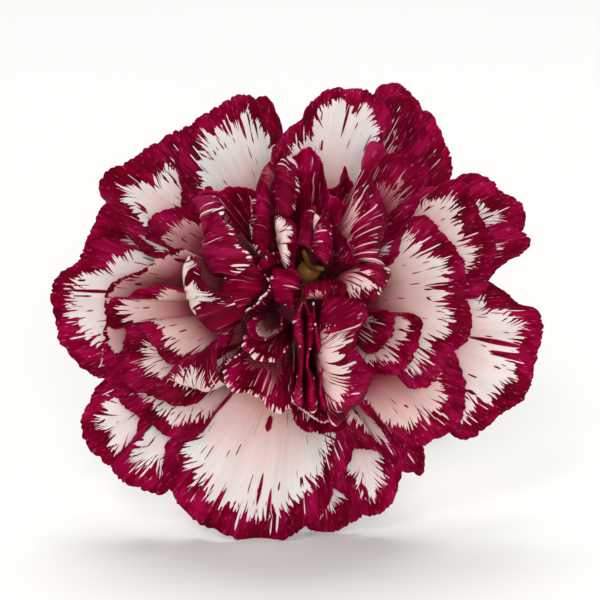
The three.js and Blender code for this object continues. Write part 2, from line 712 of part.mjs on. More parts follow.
// A round rod along a path, with a ball on the points of the path that balls names.
function rod(path, radius, { sides = 10, steps = 8, balls = [] } = {}) {
  const curve = curveThrough(path);
  const section = new THREE.Shape().absarc(0, 0, radius, 0, 2 * Math.PI);
  const tube = new THREE.ExtrudeGeometry(section, {
    steps,
    extrudePath: curve,
    curveSegments: sides / 2,
    bevelEnabled: false,
  });
  return balls.reduce((all, point) => all.add(ball(path.at(point), radius * 1.02)), solidOf(tube));
}

function ball(at, radius, stretch = 1) {
  return solidOf(new THREE.SphereGeometry(radius, 12, 8).scale(1, 1, stretch).translate(...at));
}

// The ovary on its stalk and the two styles that curl out of it. grow makes it fatter all over.
function pistil(grow = 0) {
  const ovary = rod(OVARY_PATH, OVARY_RADIUS + grow, { steps: 10, balls: [0, -1] });
  return STYLE_TIPS.reduce((all, tip) => {
    const [from, to] = [vec(OVARY_PATH.at(-1)), vec(tip)];
    const bend = from.clone().lerp(to, 0.5).add(new THREE.Vector3(0, 0, 1.5)).toArray();
    const path = [OVARY_PATH.at(-1), bend, tip];
    return all.add(rod(path, STYLE_RADIUS + grow, { sides: 8, steps: 5, balls: [-1] }));
  }, ovary);
}

// The outside of the calyx: its radius at each height.
const CALYX_OUTLINE = [
  [2.4, CALYX.base],
  [5.2, CALYX.base + 1.6],
  [6.7, CALYX.base + 5],
  [7.2, CALYX.base + 11],
  [CALYX.radius, CALYX.mouth - 4],
];

function calyxRadiusAt(z) {
  const upper = Math.max(1, CALYX_OUTLINE.findIndex(([, height]) => height >= z));
  const [[r0, z0], [r1, z1]] = [CALYX_OUTLINE[upper - 1], CALYX_OUTLINE[upper]];
  return THREE.MathUtils.mapLinear(z, z0, z1, r0, r1);
}

// The tube of the calyx, with its teeth raised from the rim.
function calyx() {
  const { mouth, floor, radius, wall, sides } = CALYX;
  const outline = [[0, CALYX.base], ...CALYX_OUTLINE, [radius, mouth], [radius - wall, mouth]];
  const inside = [[radius - wall, floor + 3], [radius - wall - 1.2, floor], [0, floor]];
  const tube = latheOf([...outline, ...inside], sides);
  const position = tube.getAttribute("position");
  for (let i = 0; i < position.count; i++) {
    if (position.getZ(i) < mouth - 0.01) continue;
    const [x, y] = [position.getX(i), position.getY(i)];
    const turn = ((Math.atan2(y, x) / (2 * Math.PI)) * TEETH.count + TEETH.count) % 1;
    const tooth = 1 - Math.abs(2 * turn - 1);
    const flare = 1 + (TEETH.flare * tooth) / Math.hypot(x, y);
    position.setXYZ(i, x * flare, y * flare, mouth + TEETH.length * tooth);
  }
  return SCALES.reduce((all, scale) => all.add(calyxScale(scale)), solidOf(tube));
}

function calyxScale({ turn, width, top }) {
  const foot = CALYX.base + 1;
  const tipSpan = 0.06;
  const surface = (s, t) => {
    const z = THREE.MathUtils.lerp(foot, top, t);
    const span = width * Math.max(tipSpan, Math.sqrt(1 - t ** 3) * (1 - 0.5 * t));
    const angle = THREE.MathUtils.degToRad(turn + (s - 0.5) * span);
    const radius = calyxRadiusAt(z) + 0.1 + 0.5 * t ** 3;
    return new THREE.Vector3(radius * Math.cos(angle), radius * Math.sin(angle), z);
  };
  return solidOf(bladeGeometry(surface, 6, 5, SCALE_THICKNESS));
}

function stem() {
  return rod(STEM_PATH, STEM_RADIUS, { sides: 12, steps: 12 }).add(ball(JOINT_AT, JOINT_RADIUS, 0.9));
}

// A narrow leaf, hollow on the side that clasps the stem.
function leaf(path) {
  const { width, thickness, hollow, steps } = LEAF;
  const curve = curveThrough(path);
  const across = [new THREE.Vector3(0, 1, 0)];
  for (let k = 1; k <= steps; k++)
    across.push(across[k - 1].clone().projectOnPlane(curve.getTangentAt(k / steps)).normalize());
  const surface = (s, t) => {
    const k = Math.min(Math.floor(t * steps), steps - 1);
    const side = across[k].clone().lerp(across[k + 1], t * steps - k);
    const inward = curve.getTangentAt(t).cross(side).multiplyScalar(Math.sign(path[0][0]));
    const halfWidth = 0.5 * width * (1.06 - t ** 2.4);
    const offset = 2 * s - 1;
    const rise = hollow * offset ** 2 * (1 - 0.6 * t);
    return curve.getPointAt(t).addScaledVector(side, offset * halfWidth).addScaledVector(inward, rise);
  };
  return solidOf(bladeGeometry(surface, 4, steps, thickness));
}

const largest = (solid) => solid.decompose().reduce((a, b) => (a.volume() > b.volume() ? a : b));

// ---- The flower, laid down on the surface z = 0 ----

const flower = new THREE.Group();
flower.position.set(...FLOWER_AT);
flower.rotation.x = THREE.MathUtils.degToRad(90 - FACE_TILT);
flower.updateMatrix();

const belowSurface = solidOf(
  new THREE.BoxGeometry(400, 400, 40).translate(0, 0, -20).applyMatrix4(flower.matrix.clone().invert()),
);

function addPiece(name, solid, colour, roughness) {
  const mesh = new THREE.Mesh(
    geometryOf(largest(solid.subtract(belowSurface)).simplify(TIDY)),
    new THREE.MeshStandardMaterial({ color: colour, roughness, metalness: 0 }),
  );
  mesh.name = name;
  flower.add(mesh);
}

addPiece("petals", bloom().subtract(pistil(FIT_GAP)), PETAL_COLOUR, 0.75);
addPiece("pistil", pistil(), GREEN.pistil, 0.6);
addPiece("calyx", calyx(), GREEN.calyx, 0.6);
addPiece("stem", stem(), GREEN.stem, 0.6);
for (const [name, path] of Object.entries(LEAF_PATHS)) addPiece(name, leaf(path), GREEN.leaf, 0.65);

const group = new THREE.Group();
group.add(flower);

export default group;
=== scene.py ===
"""A cut carnation that lies on its side.

It has cream petals with a crimson border, a green calyx and a short leafy stem. The flower is drawn in its
own frame, in millimetres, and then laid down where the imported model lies: x runs across the bloom, y up its
face and z out of its face, with the calyx and the stem on the negative z axis.
"""
import math

import bpy
import numpy as np
from mathutils import Matrix, Vector


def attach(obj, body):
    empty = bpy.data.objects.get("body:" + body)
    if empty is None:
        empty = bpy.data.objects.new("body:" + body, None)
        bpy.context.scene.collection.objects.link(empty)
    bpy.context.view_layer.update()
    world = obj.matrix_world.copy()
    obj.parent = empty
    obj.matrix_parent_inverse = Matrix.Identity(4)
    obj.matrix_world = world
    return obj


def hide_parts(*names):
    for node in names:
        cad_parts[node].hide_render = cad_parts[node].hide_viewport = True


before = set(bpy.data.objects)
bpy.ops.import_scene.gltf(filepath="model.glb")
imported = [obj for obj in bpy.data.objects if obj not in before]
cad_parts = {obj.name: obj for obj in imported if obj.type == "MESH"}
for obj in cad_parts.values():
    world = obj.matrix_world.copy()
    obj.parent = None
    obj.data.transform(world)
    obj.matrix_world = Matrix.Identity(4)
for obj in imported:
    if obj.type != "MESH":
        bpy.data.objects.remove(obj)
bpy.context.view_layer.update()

# ---- Driving dimensions, in millimetres and degrees ----

MM = 0.001
FACE_TILT = 17  # the bloom's face looks up by this much as the flower lies
FLOWER_AT = (0.5, -49.7, 39.3)  # where the centre of the bloom's face is as it lies
FLOOR_GAP = 0.15  # the lowest points of the rim are pressed flat this far above the floor

CLAW_WIDTH = 2.6  # a petal is this wide where it leaves the bundle of claws
CLAW_HEIGHT = -15  # z at which the petals leave the bundle
CLAW_OUT = 4.2  # how far from the flower's axis they leave it, at the most
KNEE_REACH = 0.45  # share of a petal's reach at which it bends over
KNEE_SPREAD = 0.35  # share of its breadth that it has by then
FOLD_SHARE = 0.55  # share of the way from claw to margin at which a folded petal folds
DOME_DROP = 5  # the face is domed, and falls by this much at DOME_RADIUS
DOME_RADIUS = 40
WAVE_LENGTH = 12  # the large waves along each margin
WAVE_HEIGHT = 1.1
WAVE_MARGIN = 30  # a margin shorter than this has lower waves
WAVE_SEED = 11

PETAL_THICKNESS = 0.26
COLUMN_WIDTH = 0.3  # the petal's mesh, at its margin
FEWEST_COLUMNS = 24
ROWS = 26
ROW_CROWDING = 1.25  # above 1, the rows of the mesh lie closer near the margin
FRILL_LENGTH = 4.6  # the small waves close to the margin
FRILL_HEIGHT = 0.42
FRILL_DEPTH = 4  # this far in, the small waves are down to about a third
CRUMPLE = (0.35, 4.5)  # how deep and how wide the dents all over a petal are
TOOTH_PITCH = 0.9  # the margin is cut into small rounded teeth
TOOTH_DEPTH = 0.8
FAN_FOOT = 3  # a petal laid out flat is a fan whose point lies this far below the petal's claw
FAN_ANGLE = 5.5  # the widest such fan, in radians, so that its two sides don't meet
VEIN_DEPTH = 7  # further in than this, the pattern starts to keep to the veins

BORDER = 3.4  # the crimson border of a petal
SPIKES = 1.8  # how far its spikes reach in along the veins
SHOULDER = 0.45  # the border narrows by this share of the way down a petal's sides
NO_COMB = (0, 2, 0)  # no pale dashes in the rim or the crest of a fold
CREST_AT = 0.52  # share of the way from claw to margin at which the crest of a fold lies

BUNDLE_PATH = [(0, 0, -28.5), (0, 0, -20), (0, 0, -13)]
BUNDLE_RADIUS = 6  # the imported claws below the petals
BUNDLE_NARROWS = 1.4  # by this much at its top
CLAWS = 17  # the claws that show as ribs round the bundle

CALYX_MOUTH = -18.6
CALYX_OUTLINE = [  # radius and z, from the foot up
    (2.4, -43), (4.3, -42.4), (5.4, -41), (6.3, -39), (6.8, -36.5), (7.1, -33), (7.25, -28), (7.35, -23),
]
CALYX_RADIUS = 7.4
CALYX_GIRTH = 46  # the width of its pattern
CALYX_WALL = 0.7
CALYX_FOOT = 0.05  # the share of the calyx's mesh that closes its foot, where the stem meets it
CALYX_RIBS = 35
RIB_HEIGHT = 0.09
TEETH = 5
TOOTH_LENGTH = 3.4
TOOTH_FLARE = 0.5
SCALES = [(0, 80, -34.5), (180, 80, -35), (90, 95, -31.5), (270, 95, -32)]  # angle, breadth, top
SCALE_THICKNESS = 0.4
SCALE_GAP = 0.28  # between the calyx and the middle of a scale
SCALE_FLARE = 0.5

STEM_RADIUS = 1.9
JOINT_AT = (-0.2, 0.6, -86)  # the swollen joint that bears the leaves
JOINT_SWELL = 1.0
JOINT_LENGTH = 1.9
STEM_PATH = [(0, 0, -43.1), (0.5, 0.7, -62), JOINT_AT, (0.3, -1.5, -124)]
LEAF_WIDTH = 6.2
LEAF_THICKNESS = 0.55
LEAF_HOLLOW = 1.3  # how far a leaf's edges stand above its middle, on the side that clasps the stem
LEAF_ROWS = 70
LEAF_PATHS = {
    "leaf_right": [
        (3.35, 0.6, -87.5), (4.5, 1, -80), (12, 0.5, -64), (20.5, -6.5, -57), (25.6, -21, -55.5),
    ],
    "leaf_left": [
        (-3.75, 0.6, -87.5), (-4.8, 1.4, -79), (-11.5, 2.5, -61), (-20, -3, -52), (-29.5, -6, -49),
    ],
}
OVARY_PATH = [(0, 0, -25.6), (0, 0, -14), (0.8, 3, -9), (1.7, 5.4, -2.5)]
OVARY_RADIUS = 1.9
STYLE_TIPS = [(0.5, 8.2, 2.5), (4, 5, 2)]
STYLE_RADIUS = 0.62
STYLE_FOOT = 1  # a style starts this far below the top of the ovary
STYLE_ARCH = 1.5  # and rises this far above the straight line to its tip

# ---- Petals ----
# margin is a row of (x, y, z) points, anticlockwise as the face is seen. lift is the height at which the
# petal bends over, and reach, where it isn't KNEE_REACH, how far out that is. A petal that has a fold runs
# through that row of points on its way to the margin instead. crumple is how deep and wide its dents are.
#
# The rest is its pattern. border is the width of its crimson, one number or a row along the margin. spikes
# makes the border's spikes longer or shorter, and streaky adds pale lines through the border. comb cuts
# pale dashes: how many are in the rim, how far in they reach, and how many are in the crest of a fold.
# marks are single crimson dashes: the place along the margin, where each starts and ends between claw and
# margin, and half its width. blush brings the pink of the throat further out, and with it the dull red
# painted shade at the claw. The dimming is painted shade: it darkens the petal, and below 0 it is painted
# light that lightens it.

PETALS = [
    # the outer whorl, from the top and round to the left, hindmost petals first
    {"lift": -2.5, "border": 4.5, "margin": [
        (-2.7, 23.3, -3), (-2.3, 27, -4), (-3.2, 30, -4), (-4.5, 32.7, -4), (-6.3, 33.8, -4),
        (-8.3, 33, -4), (-10, 31.3, -4),
    ]},
    {"lift": -2.5, "border": 5, "margin": [
        (-15.8, 29.7, -4), (-18, 29.3, -4), (-20.5, 28.5, -4), (-22.7, 27, -4), (-23.7, 25.3, -4),
        (-23.3, 23.3, -4),
    ]},
    {"lift": -2.5, "border": 6, "margin": [
        (-29.2, 16.7, -4), (-32, 16.7, -4), (-33.8, 14.7, -4.5), (-35, 11.3, -4.5), (-36, 8, -4),
        (-33.3, 6.3, -4),
    ]},
    {"lift": -2.5, "border": 7.5, "margin": [
        (19.7, 27.5, -4), (20.3, 30, -5), (20, 33, -5), (18.2, 35.3, -5), (16, 36.3, -5), (14, 35.5, -4.5),
        (12.7, 33.3, -4),
    ]},
    {"lift": -2.2, "border": 7.5, "margin": [
        (22.5, 17.5, -2), (24.7, 20, -3), (25, 24, -3), (24, 27.3, -3.5), (22.3, 30.5, -4), (20, 31.8, -4),
        (17.5, 31.3, -4),
    ]},
    {"lift": -2.2, "border": 4, "margin": [
        (35.3, 10, -4), (37, 11.3, -4), (37.3, 14.7, -4), (36.2, 16.8, -4), (33.8, 18.3, -4),
        (31.7, 20.3, -4), (28.7, 20.7, -4), (26.3, 20, -3.5), (25, 18.3, -3),
    ]},
    {"lift": -2.5, "border": 3.6, "margin": [
        (0, -36.7, -4), (2, -38.5, -4), (3.7, -39, -4), (6.7, -38.5, -4), (9.3, -36.8, -4), (10.3, -35, -4),
        (10, -31.7, -4),
    ]},
    {"lift": -2.5, "border": 5, "margin": [
        (15.8, -28.3, -4), (17.7, -28.8, -4), (18.8, -28.7, -4), (20.2, -29.2, -4), (20.7, -27, -3.5),
        (20.7, -24.2, -3),
    ]},
    {"lift": -1.2, "border": 6.5, "blush": 0.2, "margin": [
        (20, 22.5, -1), (21.3, 25, -2), (21.2, 29.2, -2.5), (19.7, 32.7, -3), (17, 34.2, -3),
        (14.2, 33.3, -3), (13.3, 30.3, -2),
    ]},
    {"lift": -1.2, "border": 4, "blush": 0.2, "margin": [
        (30.7, 3.3, -2), (32, 4.8, -2), (34.2, 6.2, -2.5), (36.7, 7.3, -3), (38.3, 9.3, -3),
        (36.7, 11.3, -2.5), (33.3, 13, -1.5),
    ]},
    {"lift": -1.2, "marks": [(0.6, 0.62, 0.99, 0.6), (0.55, 0.75, 0.98, 0.6)], "margin": [
        (23.3, -21.7, -1), (25.3, -22.8, -1.5), (29, -22.2, -2), (34.2, -19, -2), (38, -15, -2.5),
        (39.5, -10.3, -2.5), (40.3, -5.8, -3), (39.6, -2.5, -3), (37, -0.2, -2.5), (34, 1.8, -2),
        (31, 2.2, -1.5),
    ]},
    {"lift": -1.2, "margin": [
        (5.7, -30, -1.5), (7, -32.7, -2), (8.8, -35.3, -2.5), (12, -35.8, -2.5), (14.7, -34.2, -2.5),
        (16.7, -31.2, -2), (17.5, -27.7, -1.5), (17, -24.7, -1), (14.2, -23.3, -1),
    ]},
    {"lift": -1.2, "margin": [
        (-31.3, -12.5, -1.5), (-34.2, -14, -2), (-35.5, -17, -2.5), (-36.2, -21.2, -2.5), (-35, -25, -2.5),
        (-32, -27.5, -2.5), (-29.2, -28, -2), (-27.5, -25.8, -2),
    ]},
    {"lift": -1.2, "border": 4, "marks": [(0.36, 0.5, 0.8, 0.4), (0.52, 0.45, 0.74, 0.35),
     (0.24, 0.6, 0.78, 0.3)], "margin": [
        (-19.3, 16.7, -1.5), (-19.5, 20.8, -2), (-21, 24.2, -2.5), (-23.7, 25.7, -2.5), (-26.2, 25, -2.5),
        (-28.8, 23.3, -2.5), (-32, 21.3, -2.5), (-33, 18.7, -2), (-32.3, 16, -1.5), (-30, 13, -1),
        (-26.7, 10.3, -0.5),
    ]},
    {"lift": 0, "margin": [
        (-26.7, -18, 0), (-27.8, -21.7, -0.5), (-29, -25.3, -1), (-31.2, -27.8, -1.5), (-29.7, -30.5, -1.5),
        (-26.7, -31.3, -1.5), (-23.3, -31.7, -1.5), (-20.8, -29.7, -1), (-20, -26.7, -1),
    ]},
    {"lift": 0, "border": 3, "spikes": 0.75, "blush": -0.1, "marks": [(0.46, 0.74, 0.95, 0.4),
     (0.52, 0.8, 0.98, 0.35)], "margin": [
        (-4.7, 19.2, 0), (-2.8, 25, -0.5), (-4, 29.2, -1), (-6.3, 32.7, -1.5), (-9.2, 33.8, -1.5),
        (-13.3, 32.3, -1), (-17.7, 29.7, -1), (-19.8, 24.2, -0.5), (-20, 19.2, 0), (-19, 14.7, 0),
    ]},
    {"lift": 0, "marks": [(0.52, 0.6, 0.99, 0.4)], "margin": [
        (-23, 7.7, 1), (-26.7, 9.5, 0.5), (-31.3, 9.7, -0.5), (-35.8, 8, -1), (-39, 5.7, -1.5),
        (-40.8, 2.7, -1.5), (-41.2, -1.3, -1.5), (-40.5, -6, -1), (-37.5, -9.2, -0.5), (-34.2, -13.3, 0),
        (-31.3, -14.2, 0),
    ]},
    {"lift": 1, "border": 2.8, "spikes": 0.8, "blush": -0.1, "marks": [(0.5, 0.66, 0.76, 0.4),
     (0.4, 0.7, 0.97, 0.3), (0.62, 0.62, 0.7, 0.3)], "margin": [
        (13, 22.5, 1.5), (14.7, 26.7, 0.5), (14.3, 30.8, 0), (12.3, 34.3, -0.5), (8.7, 35.3, -0.5),
        (3.7, 33.8, 0), (-0.3, 31, 0.5), (-2.7, 26.7, 1.5), (-4.7, 22.5, 2), (-5.3, 18.3, 2.5),
    ]},
    {"lift": 1, "border": 4, "blush": -0.08, "marks": [(0.5, 0.66, 0.86, 0.45), (0.545, 0.72, 0.93, 0.45),
     (0.36, 0.6, 0.68, 0.3), (0.62, 0.78, 0.85, 0.25), (0.47, 0.42, 0.54, 1.5)], "margin": [
        (-17.3, -22, 0.5), (-21, -23.3, 0.5), (-22.2, -26.3, 0), (-22.3, -30, -0.5), (-21.3, -32.8, -0.5),
        (-18.7, -35.2, -0.5), (-15, -37.8, 0), (-10, -40, 0), (-5, -40.2, 0), (-0.7, -39.3, 0),
        (3, -35.3, 0.5), (5.8, -31.7, 1), (7.8, -28.3, 1.5), (7.7, -24.7, 2), (6, -22, 2),
    ]},
    {"lift": 2, "blush": 0.24, "margin": [
        (10.2, -17.5, 3), (11.3, -20, 3), (13.5, -22.2, 2.5), (16.7, -23.5, 2), (20.3, -24, 1.5),
        (24, -23, 1.5), (26.2, -20.7, 1.5), (27, -17.3, 1.5), (27.8, -13.7, 2), (26.8, -10.7, 2),
        (24.7, -8.7, 2.5),
    ]},
    {"lift": 1, "blush": 0.2, "margin": [
        (6.3, -22.7, 2.5), (8.7, -24.2, 2), (11.7, -25.3, 1.5), (14.3, -27, 0.5), (16.3, -27, 0),
        (17, -24.2, 0.5),
    ]},
    # the middle whorl
    {"lift": 2, "border": 2.8, "margin": [
        (-30.3, 12, 1), (-28.3, 10, 2), (-25.3, 8.2, 2.5), (-22, 7, 3), (-18.7, 7, 3),
    ]},
    {"lift": 2, "margin": [
        (-32.8, -5.8, 1.5), (-32.5, -8.3, 1.5), (-32, -11.7, 1.5), (-30, -14.3, 1.5), (-27.5, -15.7, 2),
    ]},
    {"lift": 1.5, "border": 2.8, "blush": 0.2, "margin": [
        (-31.3, -14.2, 1), (-29.7, -16.3, 1), (-27, -19.3, 1), (-23.7, -21.5, 1.5), (-20, -22.3, 1.5),
        (-16.2, -22.2, 2), (-14.2, -20, 3), (-13.3, -17, 3.5),
    ]},
    {"lift": 2, "streaky": 0.15, "blush": 0.2, "margin": [
        (27.7, 1.3, 2), (29.7, 0.7, 1.5), (31.5, 2, 1), (32.3, 5.3, 1), (31.8, 9.2, 1), (30.7, 13.3, 1),
        (28.8, 17, 1), (26.3, 19.3, 1.5), (23.3, 19.8, 2), (20.7, 19.3, 3), (18.3, 17.5, 3),
    ]},
    {"lift": 2, "border": 0.5, "spikes": 0.25, "blush": 0.5, "painted_shade": 0.2, "margin": [
        (-19.3, 7.7, 6.5), (-23.3, 7, 6), (-26.7, 5.3, 5), (-30, 2.8, 4), (-32.2, -0.3, 3),
        (-32.8, -3.7, 3), (-32.3, -6.7, 3), (-30, -8.7, 3),
    ]},
    {"lift": 3.5, "border": 3.6, "spikes": 1.3, "streaky": 0.15, "blush": 0.2, "margin": [
        (-29, -4.2, 4.5), (-29.8, -7.5, 4), (-29.7, -11, 4), (-28.3, -14, 4), (-25.3, -16.2, 4),
        (-21.3, -17, 4.5), (-17.5, -16.7, 5), (-14.7, -15.7, 5.5),
    ]},
    {"lift": 4, "border": 2.4, "spikes": 0.9, "streaky": 0.15, "blush": 0.28, "margin": [
        (-20.3, 0.8, 8), (-25, 2, 7.5), (-28.7, 1.5, 6.5), (-31.2, -0.5, 5.5), (-30.8, -3.7, 5.5),
        (-27.5, -5, 6.5), (-24.7, -7, 7.5), (-21.3, -9.3, 8), (-18, -11.3, 8.5), (-14.7, -14, 8.5),
    ]},
    {"lift": 3, "streaky": 0.15, "blush": 0.4, "painted_shade": 0.15, "margin": [
        (-14.7, 18.3, 6), (-16.7, 17.7, 5.5), (-19.2, 16, 5), (-22.5, 14.5, 4.5), (-24.8, 12, 4),
        (-25.5, 9.7, 4), (-22.5, 8.2, 5), (-19.2, 7.3, 5.5), (-15.8, 7.2, 6),
    ]},
    {"lift": 3.5, "border": 5.4, "spikes": 1.6, "streaky": 0.15, "blush": 0.4, "painted_shade": 0.08, "margin": [
        (13.7, 9.7, 7), (17, 12.3, 6), (20, 15.3, 5), (20.8, 18.7, 4), (20, 22, 3.5), (18, 24.2, 3.5),
        (14.7, 25, 4), (12.8, 23.7, 5), (12, 20.8, 6),
    ]},
    {"lift": 4, "streaky": 0.15, "blush": 0.1, "margin": [
        (15.7, -12.7, 6), (17.7, -14, 5.5), (20.7, -13.7, 5), (24, -11.3, 4.5), (26.7, -7.5, 4),
        (28, -2.5, 4), (27.7, 2.5, 4), (25.8, 8, 4.5), (23.3, 12, 5), (21.2, 13.7, 5.5), (18.7, 12.7, 6.5),
        (16, 10, 7), (14.5, 6.3, 7.5),
    ]},
    {"lift": 5, "border": 2.2, "streaky": 0.15, "blush": 0.2, "margin": [
        (10.3, -14.2, 9), (13, -12, 10), (15.8, -11.2, 10), (18.5, -9.5, 9.5), (20.2, -7, 9), (20, -4.2, 9),
        (18, -2.7, 9.5), (15.8, -3.3, 10), (14, -5.8, 9.5),
    ]},
    {"lift": 6, "border": 5, "streaky": 0.15, "blush": 0.2, "painted_shade": 0.15, "margin": [
        (10.7, -8.7, 10), (13, -7.3, 11), (14.8, -5, 11), (15, -2.3, 11), (13, -1.2, 11), (11, -2.3, 10.5),
    ]},
    # the inner petals, upright, curled and crumpled
    {"lift": 1, "reach": 0.75, "border": 8, "streaky": 0.15, "blush": 0.32, "painted_shade": -0.35,
     "crumple": [0.8, 3], "margin": [
        (-6.9, 14, 8.5), (-6.9, 16.3, 9.5), (-7.8, 17.6, 10), (-9.3, 18.3, 10.5), (-10.9, 18.6, 10.5),
        (-12.2, 18.5, 10), (-12.9, 18, 9.5), (-14.5, 18, 10), (-15.7, 17.3, 9.5), (-16.3, 15.5, 8.5),
    ]},
    {"border": 6, "streaky": 0.6, "comb": [0.5, 2, 0], "blush": 0.32, "crumple": [0.5, 3], "fold": [
        (-15.7, 14.4, 10.5), (-15.5, 13.1, 11), (-15.4, 11.8, 11), (-15.2, 10.8, 10.5), (-15, 9.8, 10),
    ], "margin": [
        (-15.4, 16.8, 10.5), (-14, 16.7, 11), (-12.9, 15.4, 11.5), (-12.1, 13.6, 11.5), (-12.4, 11.6, 11),
        (-14.2, 10.1, 10),
    ]},
    {"border": 9, "spikes": 0.7, "streaky": 0.1, "comb": [0.8, 1.6, 0], "blush": 0.37, "painted_shade": -0.15,
     "crumple": [1.3, 2.2], "fold": [
        (-14.2, 11.3, 8.5), (-15.5, 9, 8), (-15.4, 6.5, 8), (-14, 4.1, 8.5),
    ], "margin": [
        (-12.9, 14.4, 13.5), (-10.6, 11.6, 14.5), (-8.7, 8.8, 15), (-7.8, 6.2, 14.5), (-9, 3.8, 14),
    ]},
    {"border": [1, 1.6, 2.1, 2.3, 2.3, 1.9, 1.4], "spikes": 0.8, "streaky": 0.1, "comb": [0.3, 1.5, 0],
     "blush": 0.28, "crumple": [1, 2.2], "fold": [
        (-17, 6.9, 10), (-18.1, 4.4, 11.5), (-18, 0.7, 12), (-16.5, -2.6, 12), (-14.4, -4.7, 12),
        (-11.9, -5.1, 11.5),
    ], "margin": [
        (-15.8, 5.2, 11.5), (-15.2, 3.1, 12.5), (-13.2, 1.6, 13), (-11.3, 0.7, 13.5), (-9.3, -1, 13.5),
        (-9.8, -2.8, 13), (-11.6, -4.1, 12.5),
    ]},
    {"border": 9, "streaky": 0.05, "comb": [0.5, 2.4, 0], "blush": 0.42, "painted_shade": -0.2, "crumple": [1.5, 2],
     "fold": [
        (-6.2, 5.4, 12), (-6, 3.3, 12.5), (-6.7, 1.3, 12.5), (-8, -0.7, 12),
    ], "margin": [
        (-9.8, 6.2, 11.5), (-11.9, 4.9, 11.5), (-13.1, 2.4, 11.5), (-12.7, 0, 11.5), (-11.3, -2.1, 11.5),
    ]},
    {"lift": 11, "border": 9, "streaky": 0.1, "comb": [1, 1.1, 0], "blush": 0.32, "painted_shade": -0.15,
     "crumple": [1, 2.6], "margin": [
        (-6.2, 3.9, 13.5), (-5.2, 2.6, 14), (-5.6, 1, 14), (-6.7, -0.5, 13.5), (-8.2, -1.3, 13),
        (-9.8, -2, 12.5),
    ]},
    {"border": 2.5, "streaky": 0.2, "comb": [0.2, 1.5, 0], "blush": 0.32, "crumple": [0.5, 3], "fold": [
        (-20.4, -12.1, 8), (-18.5, -13.1, 8.5), (-16.3, -14, 9), (-14.2, -14.5, 9.5), (-11.9, -13.2, 10),
    ], "margin": [
        (-19.3, -9.6, 8.5), (-18, -8.5, 9.5), (-16.3, -8.2, 10.5), (-14.5, -7.3, 11.5), (-12.9, -6.5, 12),
    ]},
    {"lift": 8, "border": 3.2, "spikes": 1.2, "streaky": 0.2, "blush": 0.52, "painted_shade": 0.1,
     "crumple": [0.8, 2.6], "margin": [
        (-9.8, -2.4, 12.5), (-11.8, -3.3, 12.5), (-13.2, -4.6, 12.5), (-14, -6.9, 12), (-14, -9.3, 11.5),
        (-11.9, -8.5, 11.5), (-9.6, -7.3, 12),
    ]},
    {"lift": 8.5, "border": 5.2, "spikes": 1.7, "streaky": 0.4, "comb": [0.9, 1.4, 0], "blush": 0.37,
     "crumple": [0.9, 2.8], "margin": [
        (-10.5, -8.2, 12.5), (-11.8, -10.5, 12), (-11.6, -13.1, 12), (-10.1, -15.2, 12), (-7.8, -16.2, 12),
        (-5.6, -17.3, 12.5), (-3.3, -17.6, 13), (-1, -16, 13.5),
    ]},
    {"lift": 12, "border": 9, "streaky": 0.1, "comb": [0.75, 2, 0], "blush": 0.32, "painted_shade": -0.15,
     "crumple": [0.8, 2.6], "margin": [
        (-9.8, -5.9, 13.5), (-9.8, -7.7, 14), (-8.2, -8.8, 14.5), (-5.9, -9.6, 14.5), (-3.6, -9.5, 14.5),
        (-1.6, -8.2, 14.5),
    ]},
    {"lift": 10, "border": [5, 2, 0.9, 0.9, 3, 6, 8], "spikes": 0.8, "streaky": 0.2, "comb": [0.4, 1.2, 0],
     "blush": 0.32, "crumple": [0.6, 2.6], "margin": [
        (-7.3, -2.3, 15.5), (-8.2, -3.9, 15.5), (-7.5, -5.7, 16), (-5.9, -6.4, 16.5), (-3.9, -5.9, 16.5),
        (-2.6, -4.2, 16.5), (-2.6, -2.3, 16),
    ]},
    {"border": 9, "spikes": 0.8, "comb": [0.5, 1.5, 0], "blush": 0.32, "painted_shade": -0.3, "crumple": [0.4, 2.6],
     "fold": [
        (0.2, -15.8, 10), (0.3, -11.9, 11.5), (0.5, -8, 12), (0.5, -4.1, 12), (0.5, -0.5, 11.5),
    ], "margin": [
        (-0.8, -16.2, 12), (-0.5, -12.6, 13.5), (-0.3, -8.5, 14), (-0.3, -4.4, 14), (-0.2, -0.8, 13.5),
    ]},
    {"border": 9, "spikes": 0.8, "comb": [0.5, 1.5, 0], "blush": 0.32, "painted_shade": -0.3, "crumple": [0.4, 2.6],
     "fold": [
        (1.1, -16.7, 9.5), (1.3, -12.4, 11), (1.1, -8.2, 11.5), (1.1, -3.9, 11.5), (1, -0.2, 11),
    ], "margin": [
        (2.1, -17, 12.5), (2.1, -12.9, 13.5), (2, -8.5, 14), (1.8, -4.2, 14), (1.5, -0.5, 13.5),
    ]},
    {"border": 9, "spikes": 0.8, "comb": [0.6, 1.5, 0], "blush": 0.32, "painted_shade": -0.3, "crumple": [0.4, 2.6],
     "fold": [
        (3.1, -16.7, 10), (3.1, -12.4, 11), (2.8, -8.2, 11.5), (2.4, -3.9, 11.5), (2, -0.7, 11),
    ], "margin": [
        (4.4, -16.5, 12.5), (4.1, -12.4, 13.5), (3.4, -8.2, 14), (2.9, -4.2, 14), (2.4, -0.7, 13.5),
    ]},
    {"lift": 2, "reach": 0.6, "border": 9, "spikes": 0.6, "comb": [1.6, 0.5, 0], "blush": 0.52, "painted_shade": 0.15,
     "crumple": [0.6, 3], "margin": [
        (-1.6, -16, 12), (-0.7, -17.6, 12), (1, -18.8, 11.5), (2.9, -19.4, 11.5), (5.4, -19.4, 11),
        (6.2, -17.6, 11),
    ]},
    {"lift": 2, "border": 2.4, "spikes": 1.3, "streaky": 0.3, "comb": [0.3, 1, 0], "blush": 0.32,
     "crumple": [0.6, 3], "margin": [
        (-1.8, -18.3, 9.5), (-1.1, -20.2, 9), (0.8, -21.4, 8.5), (3.4, -21.6, 8), (5.9, -21.2, 8),
        (8.2, -20.9, 8),
    ]},
    {"border": [4.8, 4.5, 4.4, 4.3, 4.4, 4.8, 5.8], "spikes": 1.7, "streaky": 0.35, "blush": 0.16,
